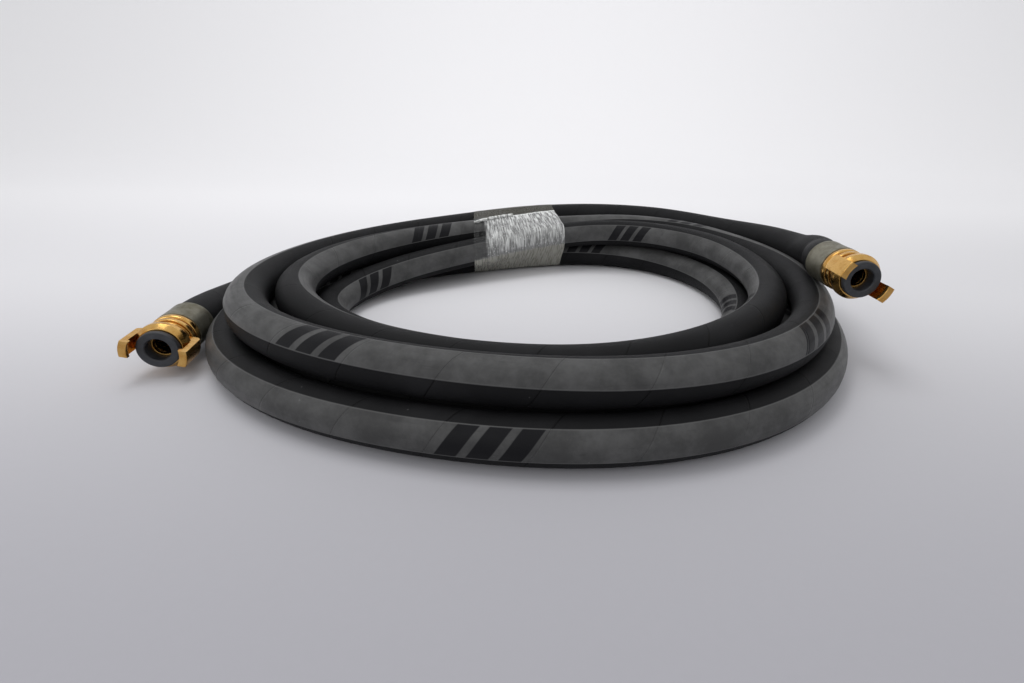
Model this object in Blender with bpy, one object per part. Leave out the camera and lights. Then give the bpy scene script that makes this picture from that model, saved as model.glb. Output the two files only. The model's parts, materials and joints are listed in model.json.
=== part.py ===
"""Coiled hydraulic hose assembly with a swivelling two-claw quick coupling at each end.

The hose is one tube of three layers, wound counter-clockwise (seen from above) in five and a
half turns. It starts at the right coupling on top of the coil, works down through the turns, and
leaves along the floor to the left coupling. A band of stretch film ties the turns at the back.

Metres, +Z up, the couplings point to -Y. The origin is on the floor, under the middle of the
object's box.
"""

import math

import bmesh
import bpy
from mathutils import Matrix, Vector

MM = 0.001

# ---------------------------------------------------------------- driving dimensions
HOSE_OD = 38.0 * MM
COVER_WALL = 1.7 * MM
REINFORCEMENT_WALL = 1.6 * MM
LINER_WALL = 2.4 * MM
LAYER_GAP = 0.4 * MM
OUTER_SIDES = 12
LAYER_SIDES = 8

TURN_GAP = 1.0 * MM
COIL_RADIUS = 304.0 * MM
# The coil isn't round. Two waves shape its outer turn, each with a crest at its own azimuth.
OVAL_DEPTH = 23.5 * MM
OVAL_ANGLE = 25.6
TRIANGLE_DEPTH = 14.3 * MM
TRIANGLE_ANGLE = -56.1
STEP_ANGLE = 20.0

CLEARANCE = 0.3 * MM
FERRULE_LENGTH = 31.0 * MM
FERRULE_WALL = 1.2 * MM
FERRULE_LIP = 3.0 * MM
FERRULE_FIT = 0.5 * MM
FERRULE_EDGE = 1.0 * MM
STEM_WALL = 2.2 * MM
BARB_DEPTH = 0.8 * MM
BARB_PITCH = 8.0 * MM
BARB_COUNT = 3
COLLAR_LENGTH = 2.0 * MM
LIP_GROOVE_DEPTH = 3.2 * MM
BEAD_LENGTH = 6.6 * MM
BEAD_STEP = 0.2 * MM
BEAD_CROWN = 1.6 * MM
SPIGOT_RADIUS = 13.4 * MM
SPIGOT_LENGTH = 15.0 * MM
SWIVEL_GAP = 0.4 * MM
O_RING_SECTION = 1.8 * MM
REAR_O_RING_PLACE = 3.6 * MM
FRONT_O_RING_PLACE = 12.0 * MM
SNAP_RING_PLACE = 7.8 * MM
SNAP_RING_SECTION = 1.5 * MM
SNAP_RING_ANGLE = 24.0
WASHER_THICKNESS = 1.0 * MM
WASHER_WIDTH = 3.6 * MM

HEAD_RING_RADIUS = 19.8 * MM
HEAD_RING_LENGTH = 5.6 * MM
HEAD_NECK_RADIUS = 16.8 * MM
HEAD_NECK_LENGTH = 8.4 * MM
FLANGE_RADIUS = 21.4 * MM
FLANGE_LENGTH = 5.4 * MM
FLANGE_RAMP = 4.6 * MM
FLANGE_NOSE_RADIUS = 18.0 * MM
HEAD_EDGE = 1.2 * MM
SEAL_OD = 34.0 * MM
SEAL_BORE = 20.4 * MM
SEAL_FACE_THICKNESS = 5.4 * MM
SEAL_PLUG_WALL = 3.2 * MM
SEAL_PLUG_LENGTH = 5.6 * MM
SEAL_EDGE = 0.9 * MM

CLAW_SPACING = 40.0 * MM
CLAW_LIP_DEPTH = 2.0 * MM
CLAW_LIP_LENGTH = 4.0 * MM
CLAW_THICKNESS = 4.2 * MM
CLAW_WIDTH = 15.0 * MM
CLAW_REACH = 8.6 * MM
CLAW_CHAMFER = 1.2 * MM
CLAW_ROOT_RADIUS = 15.2 * MM
TURNED_SIDES = 24
HIDDEN_SIDES = 16

FILM_WALL = 0.7 * MM
FILM_FIT = 0.9 * MM
FILM_AZIMUTHS = (88.0, 94.0, 100.0, 110.0, 120.0)
FILM_SIDES = 24

# ---------------------------------------------------------------- route
# Stations of the hose around the coil: how far it has travelled in degrees (0 is the right side,
# 90 the back), how many pitches it lies inside the outer floor turn, and how many pitches its
# axis lies above that of a hose on the floor.
STATIONS = (
    (0, -0.07, 1.68), (12, -0.33, 1.39), (24, -0.38, 1.29), (40, -0.42, 1.15), (60, -0.30, 1.22),
    (90, -0.06, 1.22), (135, 0.20, 1.04), (180, 0.50, 0.89), (225, 0.50, 0.93), (270, 0.50, 0.89),
    (315, 0.50, 0.87), (360, 0.50, 0.87), (390, 0.54, 0.89), (405, 0.70, 0.99), (420, 0.86, 1.02),
    (450, 1.00, 0.92), (475, 1.14, 1.01), (495, 1.28, 1.01), (540, 1.50, 0.90), (562, 1.63, 0.80),
    (585, 1.88, 0.54), (630, 1.93, 0.46), (675, 1.70, 0.76), (720, 1.55, 0.90), (745, 1.75, 1.01),
    (765, 1.90, 1.01), (810, 2.06, 0.86), (855, 2.18, 0.45), (900, 2.08, 0), (915, 2.32, 0),
    (930, 2.62, 0), (945, 2.80, 0), (990, 2.82, 0), (1035, 2.42, 0), (1080, 2.05, 0),
    (1125, 1.87, 0), (1170, 1.52, 0), (1215, 1.17, 0), (1260, 1.01, 0), (1350, 1.01, 0),
    (1440, 1.01, 0), (1485, 0.86, 0), (1530, 0.51, 0), (1575, 0.16, 0), (1620, 0, 0),
    (1710, 0, 0), (1800, 0, 0), (1845, -0.15, 0), (1890, -0.51, 0), (1935, -0.86, 0),
    (1980, -1.01, 0),
)
# Rear edge of the right ferrule, placed as a station is, and the way its coupling points.
RIGHT_REAR = (-12.4, 0.25, 1.87)
RIGHT_AIM = Vector((0.0, -1.0, 0.0))
RIGHT_CLAW_ANGLE = -29.0
# Rear edge of the left ferrule: its azimuth and how many pitches it lies inside the outer turn.
# Its claws swing clear of the floor.
LEFT_REAR = (196.3, -0.96)
LEFT_AIM = Vector((0.2, -1.0, 0.0)).normalized()
LEFT_CLAW_ANGLE = -16.0
FLOOR_GAP = 0.55 * MM
END_RUN_STEPS = 4

PITCH = HOSE_OD + TURN_GAP
HOSE_RADIUS = HOSE_OD / 2
HOSE_BORE = HOSE_OD - 2 * (COVER_WALL + REINFORCEMENT_WALL + LINER_WALL + 2 * LAYER_GAP)
TURN_ANGLE = 360.0

MATERIALS = {
    "cover_rubber": ((0.020, 0.020, 0.022), 0.62, 0.0),
    "ply_textile": ((0.42, 0.38, 0.30), 0.80, 0.0),
    "liner_rubber": ((0.030, 0.028, 0.027), 0.55, 0.0),
    "brass": ((0.62, 0.36, 0.10), 0.26, 1.0),
    "ferrule_steel": ((0.30, 0.29, 0.26), 0.42, 1.0),
    "seal_rubber": ((0.050, 0.058, 0.068), 0.58, 0.0),
    "spring_steel": ((0.45, 0.45, 0.46), 0.35, 1.0),
    "washer_plastic": ((0.72, 0.70, 0.64), 0.45, 0.0),
    "stretch_film": ((0.78, 0.80, 0.80), 0.30, 0.0),
}


def material(name):
    """Principled material of one finish, made the first time it is asked for."""
    found = bpy.data.materials.get(name)
    if found:
        return found
    colour, roughness, metallic = MATERIALS[name]
    made = bpy.data.materials.new(name)
    made.use_nodes = True
    shader = made.node_tree.nodes["Principled BSDF"]
    shader.inputs["Base Color"].default_value = (*colour, 1.0)
    shader.inputs["Roughness"].default_value = roughness
    shader.inputs["Metallic"].default_value = metallic
    made.diffuse_color = (*colour, 1.0)
    return made


def add_object(name, mesh, finish, parent=None):
    """One named node with its own finish."""
    mesh.materials.append(material(finish))
    piece = bpy.data.objects.new(name, mesh)
    piece.parent = parent
    bpy.context.scene.collection.objects.link(piece)
    return piece


def finish_mesh(bm, name, smooth_angle=40.0):
    """Closes a bmesh into a mesh with its faces pointing out."""
    bmesh.ops.recalc_face_normals(bm, faces=bm.faces)
    mesh = bpy.data.meshes.new(name)
    bm.to_mesh(mesh)
    bm.free()
    mesh.shade_smooth()
    mesh.set_sharp_from_angle(angle=math.radians(smooth_angle))
    return mesh


# ---------------------------------------------------------------- the hose's path
def through(knots, column, place):
    """Cubic through the stations' values at one travel angle."""
    last = len(knots) - 2
    index = 0
    while index < last and place >= knots[index + 1][0]:
        index += 1

    def slope(i):
        if i in (0, len(knots) - 1):
            return 0.0
        before = knots[i][0] - knots[i - 1][0]
        after = knots[i + 1][0] - knots[i][0]
        rise_before = (knots[i][column] - knots[i - 1][column]) / before
        rise_after = (knots[i + 1][column] - knots[i][column]) / after
        return (rise_before * after + rise_after * before) / (before + after)

    span = knots[index + 1][0] - knots[index][0]
    t = (place - knots[index][0]) / span
    start, end = knots[index][column], knots[index + 1][column]
    return ((2 * t**3 - 3 * t**2 + 1) * start + (t**3 - 2 * t**2 + t) * span * slope(index)
            + (3 * t**2 - 2 * t**3) * end + (t**3 - t**2) * span * slope(index + 1))


def outer_turn(azimuth):
    """Point on the outer floor turn's axis, and the plan direction that points out of the coil."""
    a = math.radians(azimuth)
    radius, change = COIL_RADIUS, 0.0
    for waves, depth, crest in ((2, OVAL_DEPTH, OVAL_ANGLE), (3, TRIANGLE_DEPTH, TRIANGLE_ANGLE)):
        phase = waves * (a - math.radians(crest))
        radius += depth * math.cos(phase)
        change -= waves * depth * math.sin(phase)
    point = Vector((radius * math.cos(a), radius * math.sin(a), 0.0))
    along = Vector((change * math.cos(a) - radius * math.sin(a),
                    change * math.sin(a) + radius * math.cos(a), 0.0)).normalized()
    return point, Vector((along.y, -along.x, 0.0))


def film_lift(azimuth):
    """Height that the film under the turns lifts them by, fading out on both sides of it."""
    middle = (FILM_AZIMUTHS[0] + FILM_AZIMUTHS[-1]) / 2
    level, fade = 21.0, 55.0
    off = max(0.0, abs(azimuth % TURN_ANGLE - middle) - level) / fade
    if off >= 1.0:
        return 0.0
    return (FILM_WALL + FILM_FIT) * (math.cos(off * math.pi) + 1) / 2


def place_at(travel, slot, height):
    """Point at one travel angle, some pitches inside the outer turn and at a height."""
    point, outward = outer_turn(travel)
    point = point - outward * (slot * PITCH)
    point.z = height
    return point


def coil_point(travel):
    """The hose's axis at one travel angle."""
    height = HOSE_RADIUS + through(STATIONS, 2, travel) * PITCH + film_lift(travel)
    return place_at(travel, through(STATIONS, 1, travel), height)


def rear_points():
    """Where the right and the left ferrule start."""
    travel, slot, height = RIGHT_REAR
    claw_back = CLAW_SPACING / 2 + CLAW_LIP_DEPTH + CLAW_THICKNESS
    sweep = math.hypot(claw_back, CLAW_WIDTH / 2)
    return (place_at(travel, slot, HOSE_RADIUS + height * PITCH),
            place_at(*LEFT_REAR, sweep + FLOOR_GAP))


def end_run(start, start_way, end, end_way):
    """Points between the coil and a ferrule, on a cubic that leaves and meets both straight."""
    reach = (end - start).length / 3
    points = []
    for step in range(1, END_RUN_STEPS):
        t = step / END_RUN_STEPS
        points.append((1 - t)**3 * start + 3 * (1 - t)**2 * t * (start + start_way * reach)
                      + 3 * (1 - t) * t**2 * (end - end_way * reach) + t**3 * end)
    return points


def hose_path():
    """Axis of the whole hose, from its end in the right ferrule to its end in the left one."""
    right_rear, left_rear = rear_points()
    last = STATIONS[-1][0]
    steps = round(last / STEP_ANGLE)
    coil = [coil_point(last * i / steps) for i in range(steps + 1)]
    nudge = 1.0
    way_in = (coil_point(nudge) - coil[0]).normalized()
    way_out = (coil[-1] - coil_point(last - nudge)).normalized()
    path = [right_rear + RIGHT_AIM * HOSE_END, right_rear]
    path += end_run(right_rear, -RIGHT_AIM, coil[0], way_in)
    path += coil
    path += end_run(coil[-1], way_out, left_rear, LEFT_AIM)
    path += [left_rear, left_rear + LEFT_AIM * HOSE_END]
    return path


def ring_of_points(path, index, radius, sides):
    """Corners of the tube's section at one point of its path."""
    before = path[max(index - 1, 0)]
    after = path[min(index + 1, len(path) - 1)]
    along = (after - before).normalized()
    across = Vector((0.0, 0.0, 1.0)).cross(along).normalized()
    up = along.cross(across)
    corners = []
    for k in range(sides):
        a = 2 * math.pi * (k + 0.5) / sides
        corners.append(path[index] + radius * (math.cos(a) * across + math.sin(a) * up))
    return corners


def layer(name, path, outer, inner, outer_sides, inner_sides, finish):
    """One layer of the hose: a tube along the path with closed, flat ends."""
    bm = bmesh.new()
    skins = []
    for radius, sides in ((outer, outer_sides), (inner, inner_sides)):
        rings = [[bm.verts.new(p) for p in ring_of_points(path, i, radius, sides)]
                 for i in range(len(path))]
        for ring, following in zip(rings, rings[1:]):
            for k in range(sides):
                m = (k + 1) % sides
                bm.faces.new((ring[k], ring[m], following[m], following[k]))
        skins.append(rings)
    for end in (0, -1):
        edges = []
        for rings in skins:
            ring = rings[end]
            edges += [bm.edges.get((ring[k], ring[(k + 1) % len(ring)])) for k in range(len(ring))]
        bmesh.ops.triangle_fill(bm, use_beauty=True, use_dissolve=False, edges=edges)
    return add_object(name, finish_mesh(bm, name), finish)


def build_hose(path):
    cover_inner = HOSE_RADIUS - COVER_WALL
    ply_outer = cover_inner - LAYER_GAP
    ply_inner = ply_outer - REINFORCEMENT_WALL
    liner_outer = ply_inner - LAYER_GAP
    liner_inner = HOSE_BORE / 2
    layer("hose_cover", path, HOSE_RADIUS, cover_inner, OUTER_SIDES, LAYER_SIDES, "cover_rubber")
    layer("hose_reinforcement", path, ply_outer, ply_inner, LAYER_SIDES, LAYER_SIDES,
          "ply_textile")
    layer("hose_liner", path, liner_outer, liner_inner, LAYER_SIDES, LAYER_SIDES, "liner_rubber")


# ---------------------------------------------------------------- turned pieces of a coupling
def turned(name, profile, finish, parent, sides=TURNED_SIDES, opening=0.0):
    """Ring turned about the coupling's axis from a closed profile of (along, radius) points."""
    bm = bmesh.new()
    verts = [bm.verts.new((radius, 0.0, along)) for along, radius in profile]
    edges = [bm.edges.new((verts[i], verts[(i + 1) % len(verts)])) for i in range(len(verts))]
    sweep = math.radians(TURN_ANGLE - opening)
    closed = opening == 0.0
    bmesh.ops.spin(bm, geom=verts + edges, cent=(0, 0, 0), axis=(0, 0, 1), dvec=(0, 0, 0),
                   angle=sweep, steps=sides, use_merge=closed, use_duplicate=False)
    if not closed:
        bmesh.ops.holes_fill(bm, edges=[e for e in bm.edges if e.is_boundary], sides=0)
    bmesh.ops.remove_doubles(bm, verts=bm.verts, dist=1e-6)
    return add_object(name, finish_mesh(bm, name), finish, parent)


def round_section(along, radius, size, corners=5):
    """Profile of a round wire or cord ring."""
    return [(along + size / 2 * math.cos(2 * math.pi * k / corners),
             radius + size / 2 * math.sin(2 * math.pi * k / corners)) for k in range(corners)]


# Places along a coupling's axis, from the ferrule's rear edge towards the mating coupling.
HOSE_END = FERRULE_LENGTH - FERRULE_LIP - COLLAR_LENGTH - 2 * CLEARANCE
COLLAR_START = HOSE_END + CLEARANCE
BEAD_START = FERRULE_LENGTH + CLEARANCE
SPIGOT_START = BEAD_START + BEAD_LENGTH
HEAD_START = SPIGOT_START + WASHER_THICKNESS + 2 * CLEARANCE
NECK_START = HEAD_START + HEAD_RING_LENGTH
FLANGE_START = NECK_START + HEAD_NECK_LENGTH
RAMP_START = FLANGE_START + FLANGE_LENGTH
HEAD_FRONT = RAMP_START + FLANGE_RAMP
SPIGOT_END = SPIGOT_START + SPIGOT_LENGTH
SEAL_SEAT = HEAD_FRONT - SEAL_PLUG_LENGTH - CLEARANCE
SEAL_FACE = HEAD_FRONT + CLEARANCE + SEAL_FACE_THICKNESS
CLAW_TIP = SEAL_FACE + CLAW_REACH

LINER_FLAT = HOSE_BORE / 2 * math.cos(math.pi / LAYER_SIDES)
TAIL_RADIUS = LINER_FLAT - CLEARANCE
STEM_BORE = TAIL_RADIUS - STEM_WALL
FERRULE_INNER = HOSE_RADIUS + FERRULE_FIT
FERRULE_RADIUS = FERRULE_INNER + FERRULE_WALL
BEAD_RADIUS = FERRULE_RADIUS - BEAD_STEP
COLLAR_RADIUS = HOSE_RADIUS - CLEARANCE
GROOVE_RADIUS = COLLAR_RADIUS - LIP_GROOVE_DEPTH
HEAD_BORE = SPIGOT_RADIUS + SWIVEL_GAP
RING_GROOVE_DEPTH = O_RING_SECTION
SNAP_GROOVE_DEPTH = SNAP_RING_SECTION / 2 + CLEARANCE


def build_ferrule(side, frame):
    """Crimped sleeve over the hose's end. Its front lip drops into the stem's groove."""
    edge = FERRULE_EDGE
    lip_start = FERRULE_LENGTH - FERRULE_LIP
    lip_inner = GROOVE_RADIUS + CLEARANCE
    profile = [(0.0, FERRULE_INNER), (0.0, FERRULE_RADIUS - edge / 2), (edge, FERRULE_RADIUS),
               (FERRULE_LENGTH - edge, FERRULE_RADIUS), (FERRULE_LENGTH, FERRULE_RADIUS - edge),
               (FERRULE_LENGTH, lip_inner), (lip_start + CLEARANCE, lip_inner),
               (lip_start + CLEARANCE, FERRULE_INNER)]
    turned(side + "_ferrule", profile, "ferrule_steel", frame)


def groove(place, width, depth):
    """Square groove cut into the spigot, as profile points from its rear to its front."""
    middle = SPIGOT_START + place
    floor = SPIGOT_RADIUS - depth
    half = width / 2 + CLEARANCE
    return [(middle - half, SPIGOT_RADIUS), (middle - half, floor),
            (middle + half, floor), (middle + half, SPIGOT_RADIUS)]


def build_stem(side, frame):
    """Hose tail: barbs inside the liner, a collar with the ferrule's groove, a bead, a spigot."""
    root = TAIL_RADIUS - BARB_DEPTH
    profile = [(HOSE_END - BARB_COUNT * BARB_PITCH, STEM_BORE),
               (HOSE_END - BARB_COUNT * BARB_PITCH, root)]
    for barb in range(BARB_COUNT, 0, -1):
        crest = HOSE_END - (barb - 1) * BARB_PITCH - BARB_PITCH / 3
        profile += [(crest, TAIL_RADIUS), (crest, root)]
    lip_front = FERRULE_LENGTH + CLEARANCE
    crown = BEAD_CROWN
    profile += [(COLLAR_START, root), (COLLAR_START, COLLAR_RADIUS),
                (COLLAR_START + COLLAR_LENGTH, COLLAR_RADIUS),
                (COLLAR_START + COLLAR_LENGTH, GROOVE_RADIUS), (lip_front, GROOVE_RADIUS),
                (lip_front, BEAD_RADIUS - crown), (BEAD_START + crown, BEAD_RADIUS),
                (SPIGOT_START - crown, BEAD_RADIUS), (SPIGOT_START, BEAD_RADIUS - crown),
                (SPIGOT_START, SPIGOT_RADIUS)]
    profile += groove(REAR_O_RING_PLACE, O_RING_SECTION, RING_GROOVE_DEPTH)
    profile += groove(SNAP_RING_PLACE, SNAP_RING_SECTION, SNAP_GROOVE_DEPTH)
    profile += groove(FRONT_O_RING_PLACE, O_RING_SECTION, RING_GROOVE_DEPTH)
    profile += [(SPIGOT_END, SPIGOT_RADIUS), (SPIGOT_END, STEM_BORE)]
    turned(side + "_stem", profile, "brass", frame, HIDDEN_SIDES)


def build_swivel_rings(side, frame):
    """Everything that sits between the stem's spigot and the claw head."""
    for name, place in (("_rear_o_ring", REAR_O_RING_PLACE),
                        ("_front_o_ring", FRONT_O_RING_PLACE)):
        middle = SPIGOT_RADIUS - RING_GROOVE_DEPTH + O_RING_SECTION / 2 + CLEARANCE / 2
        turned(side + name, round_section(SPIGOT_START + place, middle, O_RING_SECTION),
               "seal_rubber", frame, HIDDEN_SIDES)
    middle = SPIGOT_RADIUS + SWIVEL_GAP / 2
    turned(side + "_snap_ring",
           round_section(SPIGOT_START + SNAP_RING_PLACE, middle, SNAP_RING_SECTION, 4),
           "spring_steel", frame, HIDDEN_SIDES, SNAP_RING_ANGLE)
    inner = SPIGOT_RADIUS + CLEARANCE
    rear = SPIGOT_START + CLEARANCE
    turned(side + "_thrust_washer",
           [(rear, inner), (rear, inner + WASHER_WIDTH),
            (rear + WASHER_THICKNESS, inner + WASHER_WIDTH), (rear + WASHER_THICKNESS, inner)],
           "washer_plastic", frame)


def claw_block(name, outline, width, turn, frame):
    """Solid claw: an outline of (radius, along) points made as wide as the claw."""
    bm = bmesh.new()
    low = [bm.verts.new((radius, -width / 2, along)) for radius, along in outline]
    high = [bm.verts.new((radius, width / 2, along)) for radius, along in outline]
    bm.faces.new(low)
    bm.faces.new(list(reversed(high)))
    for i in range(len(outline)):
        j = (i + 1) % len(outline)
        bm.faces.new((low[i], low[j], high[j], high[i]))
    bmesh.ops.rotate(bm, verts=bm.verts, cent=(0, 0, 0), matrix=Matrix.Rotation(turn, 3, "Z"))
    block = add_object(name, finish_mesh(bm, name), "brass", frame)
    block.hide_render = True
    block.display_type = "WIRE"
    return block


def build_claw_head(side, frame, tilt):
    """Brass head that turns on the spigot: rear ring, neck, ramped flange and two hooked claws."""
    edge = HEAD_EDGE
    snap = SPIGOT_START + SNAP_RING_PLACE
    snap_half = SNAP_RING_SECTION / 2 + CLEARANCE
    snap_radius = HEAD_BORE + SNAP_GROOVE_DEPTH
    seat = SPIGOT_END + CLEARANCE
    plug = SEAL_BORE / 2 + SEAL_PLUG_WALL + CLEARANCE
    profile = [
        (HEAD_START, HEAD_BORE), (HEAD_START, HEAD_RING_RADIUS - edge),
        (HEAD_START + edge, HEAD_RING_RADIUS), (NECK_START - edge, HEAD_RING_RADIUS),
        (NECK_START, HEAD_NECK_RADIUS), (FLANGE_START, HEAD_NECK_RADIUS),
        (FLANGE_START, FLANGE_RADIUS - edge), (FLANGE_START + edge, FLANGE_RADIUS),
        (RAMP_START, FLANGE_RADIUS), (HEAD_FRONT, FLANGE_NOSE_RADIUS),
        (HEAD_FRONT, plug), (SEAL_SEAT, plug), (SEAL_SEAT, SEAL_BORE / 2 - edge),
        (seat, SEAL_BORE / 2 - edge), (seat, HEAD_BORE),
        (snap + snap_half, HEAD_BORE), (snap + snap_half, snap_radius),
        (snap - snap_half, snap_radius), (snap - snap_half, HEAD_BORE)]
    head = turned(side + "_claw_head", profile, "brass", frame)
    lip = CLAW_SPACING / 2
    arm = lip + CLAW_LIP_DEPTH
    back = arm + CLAW_THICKNESS
    rear = NECK_START + edge
    root_front = RAMP_START - edge
    cut = CLAW_CHAMFER
    outline = [(CLAW_ROOT_RADIUS, rear), (back - 2 * cut, rear), (back, rear + 2 * cut),
               (back, CLAW_TIP - cut), (back - cut, CLAW_TIP), (lip, CLAW_TIP),
               (lip, CLAW_TIP - CLAW_LIP_LENGTH), (arm, CLAW_TIP - CLAW_LIP_LENGTH - cut),
               (arm, root_front), (CLAW_ROOT_RADIUS, root_front)]
    for number in range(2):
        turn = math.radians(tilt + TURN_ANGLE / 2 * number)
        block = claw_block(f"{side}_claw_{number}", outline, CLAW_WIDTH, turn, frame)
        union = head.modifiers.new(block.name, "BOOLEAN")
        union.operation = "UNION"
        union.object = block
    return head


def build_face_seal(side, frame):
    """Rubber ring in the head's front: a wide flat face and a plug that grips the recess."""
    bore = SEAL_BORE / 2
    plug = bore + SEAL_PLUG_WALL
    back = HEAD_FRONT + CLEARANCE
    edge = SEAL_EDGE
    profile = [(SEAL_SEAT + CLEARANCE, bore), (SEAL_SEAT + CLEARANCE, plug), (back, plug),
               (back, SEAL_OD / 2), (SEAL_FACE - edge, SEAL_OD / 2),
               (SEAL_FACE, SEAL_OD / 2 - edge), (SEAL_FACE, bore + edge / 2),
               (SEAL_FACE - edge / 2, bore)]
    turned(side + "_face_seal", profile, "seal_rubber", frame)


def build_coupling(side, rear, aim, tilt):
    """All the pieces of one end, on a frame whose +Z runs out along the coupling's axis."""
    frame = bpy.data.objects.new(side + "_coupling_frame", None)
    bpy.context.scene.collection.objects.link(frame)
    across = Vector((0.0, 0.0, 1.0)).cross(aim).normalized()
    up = aim.cross(across)
    turn = Matrix((across, up, aim)).transposed()
    frame.rotation_euler = turn.to_euler()
    frame.location = rear
    build_ferrule(side, frame)
    build_stem(side, frame)
    build_swivel_rings(side, frame)
    build_claw_head(side, frame, tilt)
    build_face_seal(side, frame)


# ---------------------------------------------------------------- film round the turns
def film_section(path, first, azimuth):
    """Outline round all the turns in the upright plane square to them at one azimuth.

    Each side of the outline touches the turns that reach furthest its way. A side is its
    direction (out, up) and its distance from the plane's foot.
    """
    foot, outward = outer_turn(azimuth)
    along = Vector((-outward.y, outward.x, 0.0))
    centres = []
    travel = azimuth
    while travel < STATIONS[-1][0]:
        low = first + int(travel / STEP_ANGLE)
        for index in (low - 1, low, low + 1):
            start, end = path[index] - foot, path[index + 1] - foot
            before, after = start.dot(along), end.dot(along)
            if before <= 0.0 < after:
                point = start.lerp(end, before / (before - after))
                centres.append((point.dot(outward), point.z))
                break
        travel += TURN_ANGLE
    reach = HOSE_RADIUS + FILM_FIT
    sides = []
    for k in range(FILM_SIDES):
        a = 2 * math.pi * k / FILM_SIDES
        c, s = math.cos(a), math.sin(a)
        sides.append((c, s, max(c * u + s * v for u, v in centres) + reach))
    return sides


def film_corners(sides, extra):
    """Corners of an outline given by its sides, each moved out by a little more."""
    corners = []
    for k in range(len(sides)):
        c0, s0, d0 = sides[k]
        c1, s1, d1 = sides[(k + 1) % len(sides)]
        d0, d1 = d0 + extra, d1 + extra
        det = c0 * s1 - s0 * c1
        corners.append(((d0 * s1 - d1 * s0) / det, (c0 * d1 - c1 * d0) / det))
    return corners


def build_film(path, first):
    """Band of stretch film wound round the turns at the back of the coil."""
    bm = bmesh.new()
    skins = []
    for extra in (FILM_WALL, 0.0):
        rings = []
        for azimuth in FILM_AZIMUTHS:
            foot, outward = outer_turn(azimuth)
            corners = film_corners(film_section(path, first, azimuth), extra)
            rings.append([bm.verts.new(foot + outward * u + Vector((0.0, 0.0, v)))
                          for u, v in corners])
        for ring, following in zip(rings, rings[1:]):
            for k in range(FILM_SIDES):
                m = (k + 1) % FILM_SIDES
                bm.faces.new((ring[k], ring[m], following[m], following[k]))
        skins.append(rings)
    outer, inner = skins
    for end in (0, -1):
        for k in range(FILM_SIDES):
            m = (k + 1) % FILM_SIDES
            bm.faces.new((outer[end][k], outer[end][m], inner[end][m], inner[end][k]))
    return add_object("film_wrap", finish_mesh(bm, "film_wrap"), "stretch_film")


# ---------------------------------------------------------------- the whole assembly
def stand_on_origin():
    """Moves the assembly so that the floor's point under the middle of its box is the origin."""
    bpy.context.view_layer.update()
    pieces = [o for o in bpy.context.scene.objects if o.type == "MESH" and not o.hide_render]
    graph = bpy.context.evaluated_depsgraph_get()
    corners = []
    for piece in pieces:
        shown = piece.evaluated_get(graph)
        corners += [shown.matrix_world @ v.co for v in shown.data.vertices]
    low = Vector([min(c[i] for c in corners) for i in range(3)])
    high = Vector([max(c[i] for c in corners) for i in range(3)])
    shift = Vector(((low.x + high.x) / 2, (low.y + high.y) / 2, low.z))
    for piece in bpy.context.scene.objects:
        if piece.parent is None:
            piece.location -= shift


def main():
    for old in list(bpy.data.objects):
        bpy.data.objects.remove(old, do_unlink=True)
    path = hose_path()
    build_hose(path)
    build_film(path, 2 + END_RUN_STEPS - 1)
    right_rear, left_rear = rear_points()
    build_coupling("right", right_rear, RIGHT_AIM, RIGHT_CLAW_ANGLE)
    build_coupling("left", left_rear, LEFT_AIM, LEFT_CLAW_ANGLE)
    stand_on_origin()


main()
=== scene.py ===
"""Coiled hydraulic hose with a swivelling two-claw quick coupling at each end.

The hose, the band of stretch film and the couplings' visible pieces are made here in full detail,
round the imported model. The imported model's inner rings stay as they are and get their finishes.
"""

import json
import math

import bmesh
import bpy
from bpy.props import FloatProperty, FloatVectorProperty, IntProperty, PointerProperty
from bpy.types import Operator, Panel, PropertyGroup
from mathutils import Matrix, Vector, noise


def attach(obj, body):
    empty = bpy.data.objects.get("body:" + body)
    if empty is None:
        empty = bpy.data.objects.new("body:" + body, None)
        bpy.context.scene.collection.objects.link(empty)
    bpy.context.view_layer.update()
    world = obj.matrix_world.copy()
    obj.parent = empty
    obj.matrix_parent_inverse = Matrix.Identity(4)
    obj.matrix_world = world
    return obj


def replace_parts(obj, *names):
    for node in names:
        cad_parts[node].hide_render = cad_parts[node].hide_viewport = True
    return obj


bl_info = {
    "name": "Coiled hydraulic hose",
    "version": (1, 0, 0),
    "blender": (4, 5, 0),
    "location": "3D View > Sidebar > Hose",
    "description": "Makes a coiled hose with two claw couplings, a film band and its studio",
    "category": "Add Mesh",
}

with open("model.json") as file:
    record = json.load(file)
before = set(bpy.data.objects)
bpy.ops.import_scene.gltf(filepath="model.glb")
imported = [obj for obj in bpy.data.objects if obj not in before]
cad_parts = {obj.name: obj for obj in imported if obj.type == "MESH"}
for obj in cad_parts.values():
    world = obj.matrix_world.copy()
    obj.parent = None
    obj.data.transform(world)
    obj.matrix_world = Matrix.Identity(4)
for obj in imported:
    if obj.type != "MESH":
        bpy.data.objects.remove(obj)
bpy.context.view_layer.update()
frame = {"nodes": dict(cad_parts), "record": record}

SIDES = ("right", "left")
MM = 0.001

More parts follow.
